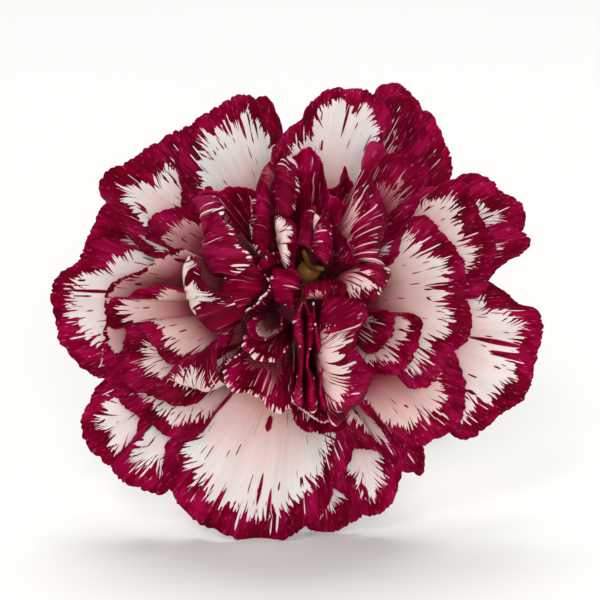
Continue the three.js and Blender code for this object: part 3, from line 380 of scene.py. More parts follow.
     "crumple": [0.8, 3], "marks": [(0.73, 0.5, 0.98, 0.5), (0.5, 0.62, 0.8, 0.2), (0.36, 0.6, 0.75, 0.2)],
     "fold": [
        (4.6, -18.5, 11), (4.1, -15.7, 13), (3.9, -12.2, 14.5), (3.6, -9, 15), (3.4, -5.7, 15),
        (3.4, -2.4, 15), (3.8, 0, 14.5),
    ], "margin": [
        (4.9, -19.3, 9.5), (7.3, -19.4, 10), (9, -18, 11), (10.1, -15, 12), (10.5, -11.4, 12.5),
        (10.5, -8.2, 12.5), (10.1, -4.9, 12.5), (9.5, -1.6, 12.5), (7.8, 0.8, 12.5), (5.9, 2, 12.5),
        (4.1, 1.5, 12.5),
    ]},
    {"border": [4.5, 3, 1.4, 1.4], "spikes": 0.8, "streaky": 0.3, "blush": 0.37, "crumple": [0.5, 3],
     "fold": [
        (6.5, 0.5, 12), (4.6, 0.3, 12.5), (2.6, 0.3, 12.5), (1, 0.3, 12.5),
    ], "margin": [
        (7.5, 2.6, 13), (6, 3.3, 13.5), (3.4, 3.6, 14), (1.6, 3.1, 14), (0.3, 2.1, 13.5),
    ]},
    {"border": [4, 3.6, 3.2, 3.2, 3.4, 3.6], "spikes": 0.8, "streaky": 0.2, "comb": [0.6, 2, 0],
     "blush": 0.22, "crumple": [0.8, 2.4], "fold": [
        (6.9, 1.1, 12), (7.3, 2.9, 13), (8.3, 4.4, 13.5), (9.8, 5.6, 13),
    ], "margin": [
        (9.5, -2.9, 8.5), (10.8, -1.6, 9), (11.9, -0.3, 9.5), (13.1, 1.1, 10), (13.9, 2.9, 10.5),
        (14, 4.9, 10.5),
    ]},
    {"border": [6, 6.8, 7.3, 7.3, 7.1, 7, 7.6, 8.5], "streaky": 0.25, "blush": 0.18, "crumple": [0.7, 3],
     "fold": [
        (10.1, 6.2, 12.5), (8.8, 7.8, 13.5), (8.2, 9.8, 14), (7.8, 12.2, 14.5), (7.7, 14.4, 14.5),
        (8, 16.3, 14), (8.5, 18, 13),
    ], "margin": [
        (14, 4.2, 9.5), (14, 6.2, 10), (13.6, 8.2, 10.5), (13.1, 10.6, 11), (13.1, 13.9, 11.5),
        (12.9, 16.7, 11.5), (12.6, 19.3, 11.5), (12.4, 22, 11), (12.7, 24.5, 10), (11.6, 24, 10.5),
        (10.8, 22.4, 11), (9.3, 20.6, 11),
    ]},
    {"lift": 2, "border": 9, "streaky": 0.1, "comb": [0.1, 2, 0], "blush": 0.32, "painted_shade": -0.15,
     "crumple": [0.8, 3], "margin": [
        (8.5, 15.8, 9), (8.2, 19.4, 10), (7.7, 21.4, 10.5), (7.2, 21.9, 10.5), (6.4, 20.2, 10.5),
        (5.6, 18.9, 10.5), (4.4, 18, 10.5), (4.1, 15.4, 10.5),
    ]},
    {"lift": 7, "border": 8, "streaky": 0.2, "comb": [0.1, 2, 0], "blush": 0.32, "painted_shade": -0.3,
     "crumple": [0.8, 3], "margin": [
        (7.8, 5.9, 13.5), (8.2, 8.2, 14.5), (8.2, 10.8, 15), (7.8, 13.4, 15), (7, 15.7, 14.5),
        (5.1, 17.3, 13),
    ]},
    {"lift": 3, "reach": 0.5, "border": 9, "streaky": 0.1, "comb": [0.1, 2, 0], "blush": 0.32, "painted_shade": -0.15,
     "crumple": [1, 2.6], "margin": [
        (4.2, 13.7, 10.5), (4.4, 18, 11.5), (4.1, 21.2, 12), (2.9, 23.2, 12), (1.1, 24.7, 12),
        (-0.3, 23.5, 12), (-1.8, 22.4, 11.5), (-3.1, 20.9, 11),
    ]},
    {"border": 7, "streaky": 0.1, "comb": [0.7, 3.2, 0], "blush": 0.32, "crumple": [1.1, 2.4], "fold": [
        (-2.8, 21.7, 12), (-3.8, 19.9, 12.5), (-4.2, 17.6, 12.5), (-4.1, 15.5, 12.5), (-3.6, 14, 12.5),
    ], "margin": [
        (-0.2, 21.7, 13), (0.2, 19.6, 13.5), (0, 17.1, 14), (-0.3, 15, 14), (-1.3, 13.7, 14),
        (-3.3, 13.4, 13.5),
    ]},
    {"border": 4, "spikes": 0.9, "streaky": 0.2, "comb": [0.3, 1.5, 0], "blush": 0.52, "painted_shade": 0.05,
     "crumple": [0.7, 3], "fold": [
        (-2.6, 21.9, 12), (-3.8, 20.2, 12.5), (-4.4, 18, 12.5), (-4.9, 15.8, 12.5), (-5.2, 13.7, 12),
    ], "margin": [
        (-2.4, 23.2, 10.5), (-4.6, 22, 11), (-5.9, 19.9, 11.5), (-7, 17.1, 11.5), (-7.2, 14.5, 11),
    ]},
    {"border": 6, "spikes": 0.7, "streaky": 0.1, "comb": [0.9, 1.8, 0.3], "blush": 0.32,
     "crumple": [1, 2.2], "fold": [
        (-5.6, 15.7, 13), (-5.1, 13.7, 14), (-5.1, 11.4, 14.5), (-5.4, 9.3, 14), (-5.1, 7.2, 13),
    ], "margin": [
        (-7, 15.5, 12), (-8.2, 13.9, 12.5), (-8.3, 11.8, 13), (-7.7, 9.5, 13), (-6.2, 7, 12.5),
    ]},
    {"border": 1.8, "spikes": 0.7, "streaky": 0.1, "blush": 0.12, "crumple": [0.7, 2.6], "fold": [
        (-2.6, 5.2, 11), (-3.1, 7.2, 12), (-3.4, 9, 12.5), (-3.6, 10.5, 12.5), (-3.8, 11.8, 12.5),
        (-3.9, 12.7, 12),
    ], "margin": [
        (-0.5, 3.9, 12), (0, 6.9, 12.5), (-0.2, 9.8, 13), (-0.7, 11.9, 13), (-1.8, 13.2, 13),
        (-3.4, 13.4, 12.5),
    ]},
    {"border": [6, 6, 5, 4, 2, 1.2], "spikes": 0.5, "streaky": 0.1, "comb": [0.4, 2, 0], "blush": 0.22,
     "crumple": [0.8, 2.4], "fold": [
        (2.9, 6.5, 13), (2.4, 8.2, 13.5), (2.1, 10.1, 14), (2.1, 11.9, 14), (1.8, 13.2, 13.5),
    ], "margin": [
        (4.2, 5.2, 14), (5.1, 7.2, 14.5), (5.6, 9.8, 15), (5.2, 11.9, 15), (4.2, 13.2, 14.5),
        (2.6, 13.4, 14),
    ]},
    {"border": 9, "blush": 0.32, "painted_shade": 0.1, "crumple": [0.3, 3], "fold": [
        (2.1, 7.8, 12.5), (2.3, 10.1, 13.5), (2.3, 12.4, 13.5), (2.3, 14, 13.5),
    ], "margin": [
        (-0.5, 8.8, 13.5), (-0.2, 11.1, 14), (0, 13.4, 14), (1, 14.4, 14),
    ]},
    {"lift": 9, "border": 9, "streaky": 0.1, "comb": [0.6, 1.2, 0], "blush": 0.32, "painted_shade": -0.2,
     "crumple": [1.2, 2.6], "margin": [
        (-2.8, 7.5, 13), (-4.9, 7, 13), (-6.7, 5.9, 13.5), (-7.5, 4.1, 13.5), (-6.9, 2.1, 13.5),
    ]},
    {"border": 9, "comb": [0.4, 1.4, 0], "blush": 0.32, "painted_shade": -0.15, "crumple": [1.5, 1.8], "fold": [
        (0, 3.8, 12), (-0.2, 2.1, 12.5), (-0.3, 0.5, 12.5), (-0.7, -1.1, 12),
    ], "margin": [
        (-2.3, 5.4, 13.5), (-4.2, 4.2, 14), (-4.9, 2.1, 14), (-4.1, 0, 14), (-2.1, -1.3, 13.5),
    ]},
    {"lift": 5, "border": 9, "streaky": 0.1, "comb": [0.2, 2, 0], "blush": 0.32, "painted_shade": -0.15,
     "crumple": [1, 2.6], "margin": [
        (-5.2, 6.2, 10.5), (-6.9, 7.2, 11), (-8.8, 6.2, 11.5), (-10.1, 4.6, 12), (-11.1, 3.1, 12),
    ]},
    {"lift": 6, "border": 6, "streaky": 0.3, "blush": 0.52, "crumple": [0.8, 2.6], "margin": [
        (9.3, 5.2, 12), (8.8, 7, 13), (8.2, 8.7, 13.5), (7.2, 10.1, 13.5), (6.2, 11.1, 13),
    ]},
]

# ---- Curves and surfaces, as arrays of points in the flower's own frame ----

LINE_KNOTS = 400  # the random heights that noise along a line runs through
FIRST_KNOT = 7  # the one that it starts from
SHEET_KNOTS = 64  # the same for a surface, each way


def seeded_random(seed):
    """The same row of numbers from 0 to 1 each time."""
    state = seed
    while True:
        state = (state * 1664525 + 1013904223) % 4294967296
        yield state / 4294967296


def spline(points, steps=48):
    """A smooth line through the points, and how far along it each of its points lies."""
    p = np.array(points, float)
    p = np.vstack([2 * p[0] - p[1], p, 2 * p[-1] - p[-2]])
    u = np.linspace(0, 1, steps, endpoint=False)[:, None]
    spans = []
    for a, b, c, d in zip(p, p[1:], p[2:], p[3:]):
        leave = (c - a) / 2
        arrive = (d - b) / 2
        bend = 3 * (c - b) - 2 * leave - arrive
        twist = 2 * (b - c) + leave + arrive
        spans.append(b + u * leave + u**2 * bend + u**3 * twist)
    line = np.vstack(spans + [p[-2:-1]])
    run = np.append(0, np.cumsum(np.linalg.norm(np.diff(line, axis=0), axis=1)))
    return line, run


def points_at(curve, share):
    """The points at the given shares, 0 to 1, of a curve's length."""
    line, run = curve
    at = np.clip(share, 0, 1) * run[-1]
    return np.stack([np.interp(at, run, line[:, k]) for k in range(3)], -1)


def directions_at(curve, share, step=0.005):
    """Which way the curve heads at the given shares of its length."""
    ahead = points_at(curve, np.minimum(share + step, 1)) - points_at(curve, np.maximum(share - step, 0))
    return ahead / np.linalg.norm(ahead, axis=-1, keepdims=True)


def eased(x):
    """Rises from 0 to 1 as x does, and leaves and arrives level."""
    return x * x * (3 - 2 * x)


def noise_line(places, pitch, seed):
    """Smooth random heights, from -1 to 1, along a line, with a knot every pitch millimetres."""
    knots = np.random.default_rng(seed).uniform(-1, 1, LINE_KNOTS)
    at = places / pitch + FIRST_KNOT
    low = np.floor(at).astype(int)
    rise = eased(at - low)
    return knots[low % LINE_KNOTS] * (1 - rise) + knots[(low + 1) % LINE_KNOTS] * rise


def noise_sheet(across, down, seed):
    """Smooth random heights, from -1 to 1, over a surface, with a knot at each whole number."""
    knots = np.random.default_rng(seed).uniform(-1, 1, (SHEET_KNOTS, SHEET_KNOTS))
    low_x = np.floor(across).astype(int)
    low_y = np.floor(down).astype(int)
    x = eased(across - low_x)
    y = eased(down - low_y)
    corners = [knots[(low_x + i) % SHEET_KNOTS, (low_y + j) % SHEET_KNOTS] for i in (0, 1) for j in (0, 1)]
    return (corners[0] * (1 - y) + corners[1] * y) * (1 - x) + (corners[2] * (1 - y) + corners[3] * y) * x


def petal_blade(petal, s, t):
    """A petal before its small relief: its points, which way its sheet looks at each vein, and the length
    of its margin. s runs along the margin and t from the claw to it."""
    margin = spline(petal["margin"])
    length = margin[1][-1]
    middle = points_at(margin, np.array([0.5]))[0]
    heading = np.array([middle[0], middle[1], 0])
    reach_out = np.linalg.norm(heading)
    heading = heading / reach_out
    side = np.array([-heading[1], heading[0], 0])
    claw = heading * min(CLAW_OUT, 0.3 * reach_out + 1.5) + np.array([0, 0, CLAW_HEIGHT])

    root = claw + (s[:, None] - 0.5) * CLAW_WIDTH * side
    tip = points_at(margin, s)
    span = tip - root
    out = np.cross(directions_at(margin, s), span)
    out /= np.linalg.norm(out, axis=1, keepdims=True)
    knee = root + (span @ heading)[:, None] * petal.get("reach", KNEE_REACH) * heading
    knee += (span @ side)[:, None] * KNEE_SPREAD * side
    knee[:, 2] = petal.get("lift", 0) + 0.5 * (tip[:, 2] - middle[2])
    tip[:, 2] -= DOME_DROP * (np.hypot(tip[:, 0], tip[:, 1]) / DOME_RADIUS) ** 2
    height = WAVE_HEIGHT * min(1, length / WAVE_MARGIN)
    wave = np.sin(2 * np.pi * (length / WAVE_LENGTH * s + petal["phase"]))
    tip += out * (height * wave)[:, None]
    if "fold" in petal:
        rest = 1 - FOLD_SHARE
        fold = points_at(spline(petal["fold"]), s)
        knee = (fold - rest**2 * root - FOLD_SHARE**2 * tip) / (2 * rest * FOLD_SHARE)

    t3 = t[None, :, None]
    points = (1 - t3) ** 2 * root[:, None] + 2 * t3 * (1 - t3) * knee[:, None] + t3**2 * tip[:, None]
    return points, out, length


def petal_surface(petal, s, t):
    """The points of a petal's middle surface, and what its pattern reads there: the place along the margin,
    how far in from the margin, and how far up from the claw."""
    points, out, length = petal_blade(petal, s, t)
    along = s * length
    place, inset = pattern_places(points, along)

    frill = noise_line(along, FRILL_LENGTH / 2, petal["seed"])
    near = np.exp(-inset / FRILL_DEPTH)[..., None]
    points = points + out[:, None] * (FRILL_HEIGHT * frill)[:, None, None] * near
    depth, pitch = petal.get("crumple", CRUMPLE)
    crumple = noise_sheet(place / pitch, inset / pitch, petal["seed"] + 1)
    crumple = depth * crumple * np.clip(inset / 2, 0.35, 1) * t[None, :] ** 1.5
    points = points + out[:, None] * crumple[..., None]

    bump = np.abs(noise_line(along, TOOTH_PITCH, petal["seed"] + 2)) ** 0.6
    fine = 0.5 + 0.5 * noise_line(along, TOOTH_PITCH / 3, petal["seed"] + 3)
    notch = TOOTH_DEPTH * (1 - 0.75 * bump - 0.25 * fine)
    vein = points[:, -1] - points[:, -4]
    vein /= np.linalg.norm(vein, axis=1, keepdims=True)
    points = points - vein[:, None] * (notch[:, None] * np.clip(1 - inset / 2, 0, 1))[..., None]
    return points, place, inset, t[None, :] + 0 * inset


def pattern_places(points, along):
    """Where each point of a petal lies once the petal is laid out flat: the place along its margin that it
    is nearest to, and how far in from there it is. The colour runs in at right angles to the margin."""
    run = np.linalg.norm(np.diff(points, axis=1), axis=2)
    run = np.concatenate([np.zeros((len(run), 1)), np.cumsum(run, axis=1)], axis=1) + FAN_FOOT
    reach = run[:, -1]
    step = np.linalg.norm(np.diff(points[:, -1], axis=0), axis=1)
    climb = np.diff(reach)
    turn = np.sqrt(np.maximum(step**2 - climb**2, (0.3 * step) ** 2)) / ((reach[1:] + reach[:-1]) / 2)
    turn = np.append(0, np.cumsum(turn))
    if turn[-1] > FAN_ANGLE:
        turn = turn * FAN_ANGLE / turn[-1]
    flat = run[..., None] * np.stack([np.cos(turn), np.sin(turn)], -1)[:, None]

    # the margin, and the petal's two sides, which count as further off the lower they are
    rim = [flat[::2, -1]]
    place = [along[::2]]
    extra = [np.zeros(len(along[::2]))]
    for edge, sign in ((0, -1), (-1, 1)):
        down = run[edge, -1] - run[edge]
        rim.append(flat[edge])
        place.append(along[edge] + sign * down)
        extra.append(down * SHOULDER)
    gap = np.linalg.norm(flat[:, :, None] - np.concatenate(rim), axis=-1) + np.concatenate(extra)
    inset = gap.min(axis=2)
    weight = np.exp((inset[..., None] - gap) / 0.5)
    nearest = (weight * np.concatenate(place)).sum(axis=2) / weight.sum(axis=2)
    deep = np.clip((inset - VEIN_DEPTH) / 6, 0, 1)
    return nearest * (1 - deep) + along[:, None] * deep, inset


# ---- Making pieces ----

LAY = (
    Matrix.Scale(MM, 4)
    @ Matrix.Translation(FLOWER_AT)
    @ Matrix.Rotation(math.radians(90 - FACE_TILT), 4, "X")
)
MERGE = 0.00001  # metres: points that are closer than this are one


def deselect():
    if bpy.context.object and bpy.context.object.mode == "EDIT":
        bpy.ops.object.mode_set(mode="OBJECT")
    bpy.ops.object.select_all(action="DESELECT")


def named(name):
    """The primitive that was added last, under its name."""
    piece = bpy.context.object
    piece.name = piece.data.name = name
    return piece


def set_points(piece, points):
    """Moves the vertices to these points of the flower's own frame."""
    turn = np.array(LAY)
    places = points @ turn[:3, :3].T + turn[:3, 3]
    places[:, 2] = np.maximum(places[:, 2], FLOOR_GAP * MM)
    piece.data.vertices.foreach_set("co", places.astype(np.float32).ravel())
    piece.data.update()


def grid_piece(name, columns, rows):
    """A grid from primitive_grid_add, with the share of its width and height that each vertex is at."""
    deselect()
    bpy.ops.mesh.primitive_grid_add(x_subdivisions=columns, y_subdivisions=rows, size=2)
    piece = named(name)
    piece.data.materials.clear()
    co = np.zeros(len(piece.data.vertices) * 3, np.float32)
    piece.data.vertices.foreach_get("co", co)
    co = co.reshape(-1, 3)
    return piece, (co[:, 0] + 1) / 2, (co[:, 1] + 1) / 2


def apply(piece, kind, **settings):
    """Adds a modifier and applies it."""
    modifier = piece.modifiers.new(kind.title(), kind)
    for key, value in settings.items():
        setattr(modifier, key, value)
    bpy.context.view_layer.objects.active = piece
    bpy.ops.object.modifier_apply(modifier=modifier.name)


def edit(piece, *steps):
    """Runs edit-mode operators on everything in the piece."""
    bpy.context.view_layer.objects.active = piece
    piece.select_set(True)
    bpy.ops.object.mode_set(mode="EDIT")
    bpy.ops.mesh.select_all(action="SELECT")
    for step in steps:
        step()
    bpy.ops.object.mode_set(mode="OBJECT")


def set_attribute(piece, name, *values):
    """Gives each vertex three numbers that the piece's material reads. A single number goes to them all."""
    attribute = piece.data.attributes.new(name, "FLOAT_VECTOR", "POINT")
    rows = np.stack(np.broadcast_arrays(*values), -1)
    attribute.data.foreach_set("vector", rows.astype(np.float32).ravel())


def finish_piece(piece, node, slot, *materials):
    for material in materials:
        piece.data.materials.append(material)
    piece.data.polygons.foreach_set("use_smooth", [True] * len(piece.data.polygons))
    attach(piece, "root")
    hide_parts(node)
    return piece


# ---- Materials ----


def colour(code):
    """An sRGB hex value as linear red, green, blue and alpha."""
    channels = [int(code[i:i + 2], 16) / 255 for i in (1, 3, 5)]
    return (*[c / 12.92 if c <= 0.04045 else ((c + 0.055) / 1.055) ** 2.4 for c in channels], 1)


def put(tree, kind, inputs=(), out=0, stops=(), **settings):
    """Adds a node with its settings and links, and gives back one of its outputs. The stops are those of a
    colour ramp, each a place and a colour."""
    node = tree.nodes.new("ShaderNode" + kind)
    for key, value in settings.items():
        setattr(node, key, value)
    for number, (place, code) in enumerate(stops):
        elements = node.color_ramp.elements
        stop = elements[number] if number < 2 else elements.new(place)
        stop.position = place
        stop.color = colour(code)
    for key, value in inputs.items() if isinstance(inputs, dict) else enumerate(inputs):
        if isinstance(value, bpy.types.NodeSocket):
            tree.links.new(value, node.inputs[key])
        else:
            node.inputs[key].default_value = value
    return node.outputs[out] if len(node.outputs) else None


def new_material(name):
    material = bpy.data.materials.new(name)
    material.use_nodes = True
    material.node_tree.nodes.clear()
    return material, material.node_tree


def petal_material(name, cream, blush, throat, throat_end, crimson, deep, bright, sparkle_colour):
    """Petal tissue, as it grew: a thin matt skin over loose cells that let light through. The border's
    colour runs in along the veins. Painted on top are shade at the throat and over some whole petals, light
    over others, and sparkle highlights in the border."""
    material, tree = new_material(name)
    vein = put(tree, "Attribute", out="Vector", attribute_name="vein")
    place, inset, seed = put(tree, "SeparateXYZ", [vein]).node.outputs
    blade = put(tree, "Attribute", out="Vector", attribute_name="blade")
    ray, rise, mark = put(tree, "SeparateXYZ", [blade]).node.outputs
    habit = put(tree, "Attribute", out="Vector", attribute_name="habit")
    border, streaky, length = put(tree, "SeparateXYZ", [habit]).node.outputs
    mood = put(tree, "Attribute", out="Vector", attribute_name="mood")
    comb, blushed, painted_shade = put(tree, "SeparateXYZ", [mood]).node.outputs

    def streaks(line, across, inwards, shift, detail=0):
        """Noise drawn out along the veins. Its grain is across by inwards millimetres, and shift sets one
        such pattern apart from the next."""
        point = put(tree, "CombineXYZ", [
            put(tree, "Math", [line, 1 / across], operation="MULTIPLY"),
            put(tree, "Math", [inset, 1 / inwards], operation="MULTIPLY"),
            put(tree, "Math", [seed, shift], operation="MULTIPLY"),
        ])
        return put(tree, "TexNoise", {"Vector": point, "Scale": 1, "Detail": detail, "Roughness": 0.6})

    # The border's inner edge: long waves, wedge-shaped spikes of two sizes, and a few pale slits into it.
    swing = put(tree, "MapRange", [streaks(place, 3.6, 60, 3.1), 0.3, 0.7, -0.8, 0.8])
    wedge = put(tree, "MapRange", [streaks(place, 0.55, 16, 5.7), 0.42, 0.82])
    wedge = put(tree, "Math", [wedge, 1.8], operation="POWER")
    wedge_reach = put(tree, "Math", [length, SPIKES * 2], operation="MULTIPLY")
    wedge = put(tree, "Math", [wedge, wedge_reach], operation="MULTIPLY")
    spike = put(tree, "MapRange", [streaks(place, 0.3, 7, 6.3), 0.35, 0.7])
    spike_reach = put(tree, "Math", [length, SPIKES * 0.5], operation="MULTIPLY")
    spike = put(tree, "Math", [spike, spike_reach], operation="MULTIPLY")
    slit = put(tree, "MapRange", [streaks(place, 0.3, 5, 7.9), 0.2, 0.34, -1, 0])
    edge = put(tree, "Math", [swing, wedge], operation="ADD")
    small = put(tree, "Math", [spike, slit], operation="ADD")
    edge = put(tree, "Math", [edge, small], operation="ADD")
    edge = put(tree, "Math", [edge, border], operation="ADD")
    edge = put(tree, "Math", [edge, inset], operation="SUBTRACT")
    band = put(tree, "MapRange", [edge, -0.06, 0.08])

    # Long pale lines through the border of a streaky petal, which end short of its rim.
    more = put(tree, "Math", [streaky, 0.2], operation="MULTIPLY")
    line = put(tree, "Math", [streaks(ray, 0.42, 11, 2.7), more], operation="ADD")
    near_rim = put(tree, "MapRange", [inset, 0.6, 2.6, 0.25, 0])
    line = put(tree, "Math", [line, near_rim], operation="SUBTRACT")
    line = put(tree, "MapRange", [line, 0.74, 0.77])
    band = put(tree, "Math", [band, line], operation="SUBTRACT")

    # Pale dashes that cut into the rim or the crest of a fold.
    cut = put(tree, "Math", [comb, 0.42, streaks(ray, 0.42, 2.2, 15.7)], operation="MULTIPLY_ADD")
    cut = put(tree, "MapRange", [cut, 0.88, 0.91])
    band = put(tree, "Math", [band, cut], operation="SUBTRACT")
    band = put(tree, "Math", [band, 0], operation="MAXIMUM")

    # Dashes that lie loose on the pale blade, fewer further in, the single marks, and flecks in the border
    # that are painted sparkle highlights.
    beyond = put(tree, "Math", [inset, border], operation="SUBTRACT")
    fewer = put(tree, "MapRange", [beyond, 0, 9, 0.67, 0.8])
    dash = put(tree, "Math", [streaks(ray, 0.55, 2.6, 8.3), fewer], operation="SUBTRACT")
    dash = put(tree, "MapRange", [dash, 0, 0.02])
    single = put(tree, "MapRange", [mark, 0.45, 0.55])
    painted = put(tree, "Math", [band, dash], operation="MAXIMUM")
    painted = put(tree, "Math", [painted, single], operation="MAXIMUM")
    painted_sparkle = put(tree, "MapRange", [streaks(ray, 0.25, 1.3, 4.1), 0.7, 0.8, 0, 0.45])

    # The border is darker and more purple in patches, over fine streaks.
    patches = put(tree, "Math", [streaks(ray, 4, 6, 13.1, 2), 0.7], operation="MULTIPLY")
    tone = put(tree, "Math", [streaks(ray, 0.6, 5, 11.9, 1), 0.3, patches], operation="MULTIPLY_ADD")
    red = put(tree, "ValToRGB", [tone], stops=[(0.36, deep), (0.5, crimson), (0.64, bright)])
    # pale magenta flecks over the red: painted sparkle highlights of the velvety skin
    red = put(tree, "Mix", {"Factor": painted_sparkle, 6: red, 7: colour(sparkle_colour)}, out=2, data_type="RGBA")

    # The blade goes from the throat's colour to cream, with faint lines along its veins. On the face that
    # dull red throat is painted shade.
    up = put(tree, "Math", [rise, blushed], operation="SUBTRACT")
    stops = [(throat_end, throat), (throat_end + 0.23, blush), (0.84, cream)]
    pale = put(tree, "ValToRGB", [up], stops=stops)
    faint = put(tree, "MapRange", [streaks(ray, 0.7, 20, 2.3, 2), 0.35, 0.65, 0.95, 1.02])
    pale = put(tree, "VectorMath", {0: pale, "Scale": faint}, operation="SCALE")
    tint = put(tree, "Mix", {"Factor": painted, 6: pale, 7: red}, out=2, data_type="RGBA")
    # Painted shade: the whole petal is darkened by this share, and below 0 lightened as painted light.
    light = put(tree, "Math", [1, painted_shade], operation="SUBTRACT")
    tint = put(tree, "VectorMath", {0: tint, "Scale": light}, operation="SCALE")

    # Veins half a millimetre apart, and skin cells drawn about ten times too large, so that they show.
    grain = streaks(ray, 0.55, 40, 9.1, 1)
    where = put(tree, "TexCoord", out="Object")
    cells = put(tree, "TexNoise", {"Vector": where, "Scale": 3000, "Detail": 1})
    relief = put(tree, "Math", [cells, 0.25, grain], operation="MULTIPLY_ADD")
    normal = put(tree, "Bump", {"Strength": 0.3, "Distance": 0.1 * MM, "Height": relief})
    shader = put(tree, "BsdfPrincipled", {
        "Base Color": tint, "Roughness": 0.5, "IOR": 1.4, "Specular IOR Level": 0.03, "Normal": normal,
        "Subsurface Weight": 0.4, "Subsurface Radius": (1, 0.3, 0.3), "Subsurface Scale": 1.2 * MM,
    })
    put(tree, "OutputMaterial", {"Surface": shader})
    return material


def leafy_material(name, dark, light, film, stripe, roughness):
    """Plant tissue, as it grew: fine ribs along it, stripe millimetres apart, under an uneven film, which
    is wax on the green parts. For the claws and the pistil, the colours given are painted shade."""
    material, tree = new_material(name)
    place = put(tree, "Attribute", out="Vector", attribute_name="grain")
    place = put(tree, "VectorMath", [place, (1 / stripe, 1 / 25, 1)], operation="MULTIPLY")
    lines = put(tree, "TexNoise", {"Vector": place, "Scale": 1, "Detail": 2})
    green = put(tree, "ValToRGB", [lines], stops=[(0.3, dark), (0.7, light)])
    where = put(tree, "TexCoord", out="Object")
    dust = put(tree, "TexNoise", {"Vector": where, "Scale": 260, "Detail": 4})
    amount = put(tree, "MapRange", [dust, 0.4, 0.7, 0, 0.55])
    tint = put(tree, "Mix", {"Factor": amount, 6: green, 7: colour(film)}, out=2, data_type="RGBA")
    normal = put(tree, "Bump", {"Strength": 0.6, "Distance": 0.1 * MM, "Height": lines})
    shader = put(tree, "BsdfPrincipled", {
        "Base Color": tint, "Roughness": roughness, "IOR": 1.45, "Normal": normal,
    })
    put(tree, "OutputMaterial", {"Surface": shader})
    return material


# The face of a petal: soft and matt, with hardly any gloss. Its cream turns pink towards the claw, partly its
# own colour and partly painted shade, and the dull red at the claw is painted shade.
PETAL_FACE = petal_material(
    "petal_face_skin", "#DDD4D2", "#D9B1AB", "#9A4450", 0.27, "#6E0021", "#4C0012", "#920840", "#CC5090")
# Its back: the same tissue, with a pale green foot where it comes out of the calyx.
PETAL_BACK = petal_material(
    "petal_back_skin", "#DAD2D0", "#D9B8AE", "#C4BE98", 0.07, "#700326", "#500316", "#8C1444", "#B85A88")
# Calyx, stem and leaves: tough green skin under wax, which looks dusty and takes a dull, broad highlight.
CALYX_SKIN = leafy_material("calyx_waxy_skin", "#5E7B3E", "#86A35B", "#A9BC92", 0.5, 0.5)
STEM_SKIN = leafy_material("stem_waxy_skin", "#6A8A4E", "#8AA86A", "#A8BC9A", 0.6, 0.5)
LEAF_SKIN = leafy_material("leaf_waxy_skin", "#5F8058", "#86A27C", "#A9BDAA", 0.5, 0.55)
# Pistil: soft tissue, its own pale green darkened to an olive brown as painted shade, deep between the red
# petals.
PISTIL_SKIN = leafy_material("pistil_shaded_olive_skin", "#8A5A22", "#9A6A2C", "#A88044", 0.6, 0.45)
# The imported claws: painted shade, the same red as the border in place of their own pale green, so that no
# gap between two petals looks empty.
CLAW_SKIN = leafy_material("claw_painted_shade_skin", "#7A0630", "#96103E", "#9E2450", 0.7, 0.55)

# ---- The bloom ----


def make_petal(number, petal):
    edge_length = spline(petal["margin"])[1][-1]
    columns = max(FEWEST_COLUMNS, round(edge_length / COLUMN_WIDTH))
    piece, s, v = grid_piece("petal_%02d" % number, columns, ROWS)
    share, column = np.unique(np.round(s, 6), return_inverse=True)
    level, row = np.unique(np.round(v, 6), return_inverse=True)
    sheets = petal_surface(petal, share, 1 - (1 - level) ** ROW_CROWDING)
    points, place, inset, rise = [sheet[column, row] for sheet in sheets]
    set_points(piece, points)

    ray = share[column] * edge_length
    mark = np.zeros(len(s))
    for at, low, high, half_width in petal.get("marks", []):
        run = np.clip(2 * np.minimum(rise - low, high - rise) / (high - low), 0, 1) ** 0.5
        mark = np.maximum(mark, run * (1 - 0.5 * np.abs(ray - at * edge_length) / half_width))
    border = np.atleast_1d(petal.get("border", BORDER))
    border = np.interp(share[column], np.linspace(0, 1, len(border)), border)
    rim_comb, rim_depth, crest_comb = petal.get("comb", NO_COMB)
    crest = np.clip(1.4 - np.abs(rise - CREST_AT) / 0.1, 0, 1)
    comb = rim_comb * np.clip(1.3 - inset / rim_depth, 0, 1) + crest_comb * crest
    set_attribute(piece, "vein", place, inset, number * 0.731)
    set_attribute(piece, "blade", ray, rise, mark)
    set_attribute(piece, "habit", border, petal.get("streaky", 0), petal.get("spikes", 1))
    # the last number is the petal's painted shade, and painted light below 0
    set_attribute(piece, "mood", comb, petal.get("blush", 0), petal.get("painted_shade", 0))

    # the sheet's own side looks back, because its margin runs anticlockwise, and the added side is the face
    for skin in (PETAL_BACK, PETAL_FACE):
        piece.data.materials.append(skin)
    apply(piece, "SOLIDIFY", thickness=PETAL_THICKNESS * MM, offset=0, material_offset=1)
    return finish_piece(piece, "petals", "petal")


phases = seeded_random(WAVE_SEED)
for number, petal in enumerate(PETALS):
    make_petal(number + 1, {**petal, "phase": next(phases), "seed": 100 + number})


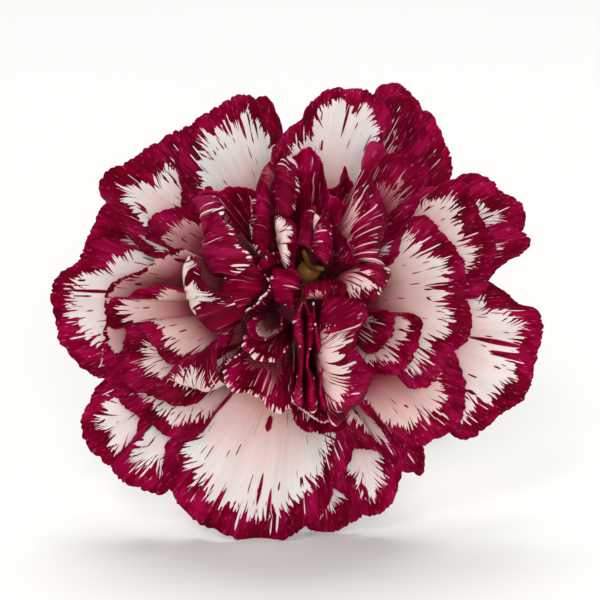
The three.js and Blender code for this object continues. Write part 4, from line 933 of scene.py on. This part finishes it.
def make_tube(name, path, radius_at, sides, rings, node, slot, material):
    """A closed tube along a path. Its radius is given for a share of its length and an angle round it."""
    piece, s, v = grid_piece(name, sides, rings)
    curve = spline(path)
    centre = points_at(curve, v)
    ahead = directions_at(curve, v)
    across = np.cross(ahead, np.array([0.0, 1.0, 0.0]))
    across /= np.linalg.norm(across, axis=1, keepdims=True)
    upward = np.cross(across, ahead)
    turn = 2 * np.pi * s
    radius = radius_at(v, turn)[:, None]
    set_points(piece, centre + radius * (np.cos(turn)[:, None] * across + np.sin(turn)[:, None] * upward))
    girth = 2 * np.pi * np.max(radius)
    set_attribute(piece, "grain", s * girth, v * curve[1][-1], 0)
    edit(
        piece,
        lambda: bpy.ops.mesh.remove_doubles(threshold=MERGE),
        lambda: bpy.ops.mesh.fill_holes(sides=0),
        lambda: bpy.ops.mesh.normals_make_consistent(inside=False),
    )
    return finish_piece(piece, node, slot, material)


def rounded(v, ends=0.06):
    """The share of its radius that a tube has at v. It rounds off over a share of its length at each end."""
    foot = np.clip(1 - v / ends, 0, 1)
    tip = np.clip(1 - (1 - v) / ends, 0, 1)
    return np.sqrt(np.clip(1 - foot**2, 0.02, 1) * np.clip(1 - tip**2, 0.02, 1))


def ovary_radius(v, turn):
    return OVARY_RADIUS * rounded(v) * (1 + 0.05 * np.cos(2 * turn))


def style_radius(v, turn):
    return STYLE_RADIUS * rounded(v) * (1.05 - 0.4 * v)


def bundle_radius(v, turn):
    claws = 1 + 0.04 * np.cos(CLAWS * turn)
    return (BUNDLE_RADIUS - BUNDLE_NARROWS * v**4) * rounded(v, ends=0.08) * claws


make_tube("ovary", OVARY_PATH, ovary_radius, 32, 48, "pistil", "pistil", PISTIL_SKIN)
for number, tip in enumerate(STYLE_TIPS):
    foot = Vector(OVARY_PATH[-1])
    arch = foot.lerp(Vector(tip), 0.5) + Vector((0, 0, STYLE_ARCH))
    path = [tuple(foot - Vector((0, 0, STYLE_FOOT))), tuple(arch), tip]
    make_tube("style_%d" % (number + 1), path, style_radius, 16, 30, "pistil", "pistil", PISTIL_SKIN)
make_tube("claw_bundle", BUNDLE_PATH, bundle_radius, 136, 30, "petals", "petal", CLAW_SKIN)

# ---- The calyx, the stem and the leaves ----


def calyx_radius(z):
    outline = np.array(CALYX_OUTLINE + [(CALYX_RADIUS, CALYX_MOUTH)])
    return np.interp(z, outline[:, 1], outline[:, 0])


def make_calyx():
    """A tube with a toothed mouth. The lowest part of its mesh closes in to the stem."""
    piece, s, v = grid_piece("calyx_tube", 150, 60)
    turn = 2 * np.pi * s
    tooth = 1 - np.abs(2 * ((s * TEETH) % 1) - 1)
    tooth = 1 - (1 - tooth) ** 1.3
    top = CALYX_MOUTH + TOOTH_LENGTH * tooth
    low = CALYX_OUTLINE[0][1]
    z = low + (top - low) * np.clip((v - CALYX_FOOT) / (1 - CALYX_FOOT), 0, 1)
    radius = calyx_radius(z) + TOOTH_FLARE * np.clip((z - CALYX_MOUTH) / TOOTH_LENGTH, 0, 1) ** 2
    radius = radius * np.clip(v / CALYX_FOOT, 0, 1)
    ribs = RIB_HEIGHT * np.cos(CALYX_RIBS * turn) * np.clip((z + 40) / 6, 0, 1) * np.clip(1.2 - v, 0, 1)
    radius = radius + ribs
    set_points(piece, np.stack([radius * np.cos(turn), radius * np.sin(turn), z], -1))
    set_attribute(piece, "grain", s * CALYX_GIRTH, z, 0)
    edit(
        piece,
        lambda: bpy.ops.mesh.remove_doubles(threshold=MERGE),
        lambda: bpy.ops.mesh.normals_make_consistent(inside=False),
    )
    apply(piece, "SOLIDIFY", thickness=CALYX_WALL * MM, offset=-1)
    return finish_piece(piece, "calyx", "calyx", CALYX_SKIN)


def make_calyx_scale(number, turn, breadth, top):
    """One of the small leaves that clasp the foot of the calyx."""
    piece, s, v = grid_piece("calyx_scale_%d" % number, 24, 24)
    foot = CALYX_OUTLINE[0][1] + 0.5
    z = foot + (top - foot) * v
    span = np.radians(breadth) * np.maximum(0.03, np.sqrt(1 - v**3) * (1 - 0.5 * v))
    angle = math.radians(turn) + (s - 0.5) * span
    radius = calyx_radius(z) + SCALE_GAP + SCALE_FLARE * v**3
    set_points(piece, np.stack([radius * np.cos(angle), radius * np.sin(angle), z], -1))
    set_attribute(piece, "grain", angle * 7, z, turn)
    apply(piece, "SOLIDIFY", thickness=SCALE_THICKNESS * MM, offset=0)
    apply(piece, "BEVEL", width=0.1 * MM, segments=2, limit_method="ANGLE", angle_limit=1.0)
    return finish_piece(piece, "calyx", "calyx", CALYX_SKIN)


make_calyx()
for number, (turn, breadth, top) in enumerate(SCALES):
    make_calyx_scale(number + 1, turn, breadth, top)


def stem_radius(v, turn):
    """Almost even, with a swollen joint."""
    z = points_at(spline(STEM_PATH), v)[:, 2]
    knot = np.exp(-(((z - JOINT_AT[2]) / JOINT_LENGTH) ** 2))
    return STEM_RADIUS - 0.15 + 0.1 * v + JOINT_SWELL * knot


make_tube("stem_rod", STEM_PATH, stem_radius, 32, 120, "stem", "stem", STEM_SKIN)


def make_leaf(name, path):
    """A narrow leaf, hollow on the side that clasps the stem."""
    piece, s, v = grid_piece(name + "_blade", 16, LEAF_ROWS)
    curve = spline(path)
    across = [np.array([0.0, 1.0, 0.0])]
    for k in range(1, LEAF_ROWS + 1):
        ahead = directions_at(curve, np.array([k / LEAF_ROWS]))[0]
        turned = across[-1] - ahead * (across[-1] @ ahead)
        across.append(turned / np.linalg.norm(turned))
    across = np.array(across)
    level = np.clip(v * LEAF_ROWS, 0, LEAF_ROWS)
    low = np.minimum(level.astype(int), LEAF_ROWS - 1)
    side = across[low] + (across[low + 1] - across[low]) * (level - low)[:, None]
    inward = np.cross(directions_at(curve, v), side) * np.sign(path[0][0])
    half = 0.5 * LEAF_WIDTH * (1.06 - v**2.4)
    offset = 2 * s - 1
    rise = LEAF_HOLLOW * offset**2 * (1 - 0.6 * v)
    set_points(piece, points_at(curve, v) + side * (offset * half)[:, None] + inward * rise[:, None])
    set_attribute(piece, "grain", offset * half, v * curve[1][-1], 0)
    apply(piece, "SOLIDIFY", thickness=LEAF_THICKNESS * MM, offset=0)
    return finish_piece(piece, name, "leaf", LEAF_SKIN)


for name, path in LEAF_PATHS.items():
    make_leaf(name, path)

# ---- The room: a pale floor, soft lights and the camera, in metres and watts ----

FLOOR_SIZE = 6
LIGHTS = [  # name, place, width, power
    ("key_light", (-0.25, -0.75, 0.75), 0.3, 1.6),
    ("front_light", (0.02, -0.8, 0.29), 0.3, 3.3),
    ("fill_light", (0.7, -0.6, 0.25), 0.6, 1.0),
    ("top_light", (0.0, 0.35, 0.9), 0.8, 6.5),
]
ROOM_LIGHT = 0.3
FRAME_WIDTH = 98  # millimetres that the picture is wide at the bloom
CAMERA_DISTANCE = 600  # millimetres from the bloom
SENSOR_WIDTH = 36
BLOOM = LAY @ Vector((0, 0, 0))


def aim(thing, place):
    """Puts a light or the camera at this place and turns it to the bloom."""
    thing.location = place
    thing.rotation_euler = (BLOOM - Vector(place)).to_track_quat("-Z", "Y").to_euler()


def make_floor():
    deselect()
    bpy.ops.mesh.primitive_plane_add(size=FLOOR_SIZE, location=(0, 0, 0))
    floor = named("floor")
    material, tree = new_material("floor_white_matt")
    shader = put(tree, "BsdfPrincipled", {"Base Color": colour("#F7F6F4"), "Roughness": 0.9})
    put(tree, "OutputMaterial", {"Surface": shader})
    floor.data.materials.append(material)


def make_camera():
    lens = bpy.data.cameras.new("camera")
    lens.sensor_width = SENSOR_WIDTH
    lens.lens = SENSOR_WIDTH * CAMERA_DISTANCE / FRAME_WIDTH
    lens.clip_end = 20
    camera = bpy.data.objects.new("camera", lens)
    bpy.context.scene.collection.objects.link(camera)
    aim(camera, LAY @ Vector((0, 0, CAMERA_DISTANCE)))
    bpy.context.scene.camera = camera


def add_light(name, place, width, power):
    lamp = bpy.data.lights.new(name, "AREA")
    lamp.shape = "DISK"
    lamp.size = width
    lamp.energy = power
    light = bpy.data.objects.new(name, lamp)
    bpy.context.scene.collection.objects.link(light)
    aim(light, place)


make_floor()
make_camera()
for name, place, width, power in LIGHTS:
    add_light(name, place, width, power)

world = bpy.data.worlds.new("room")
world.use_nodes = True
air = world.node_tree.nodes["Background"]
air.inputs["Color"].default_value = colour("#FFFFFF")
air.inputs["Strength"].default_value = ROOM_LIGHT
bpy.context.scene.world = world
bpy.context.scene.view_settings.view_transform = "Standard"
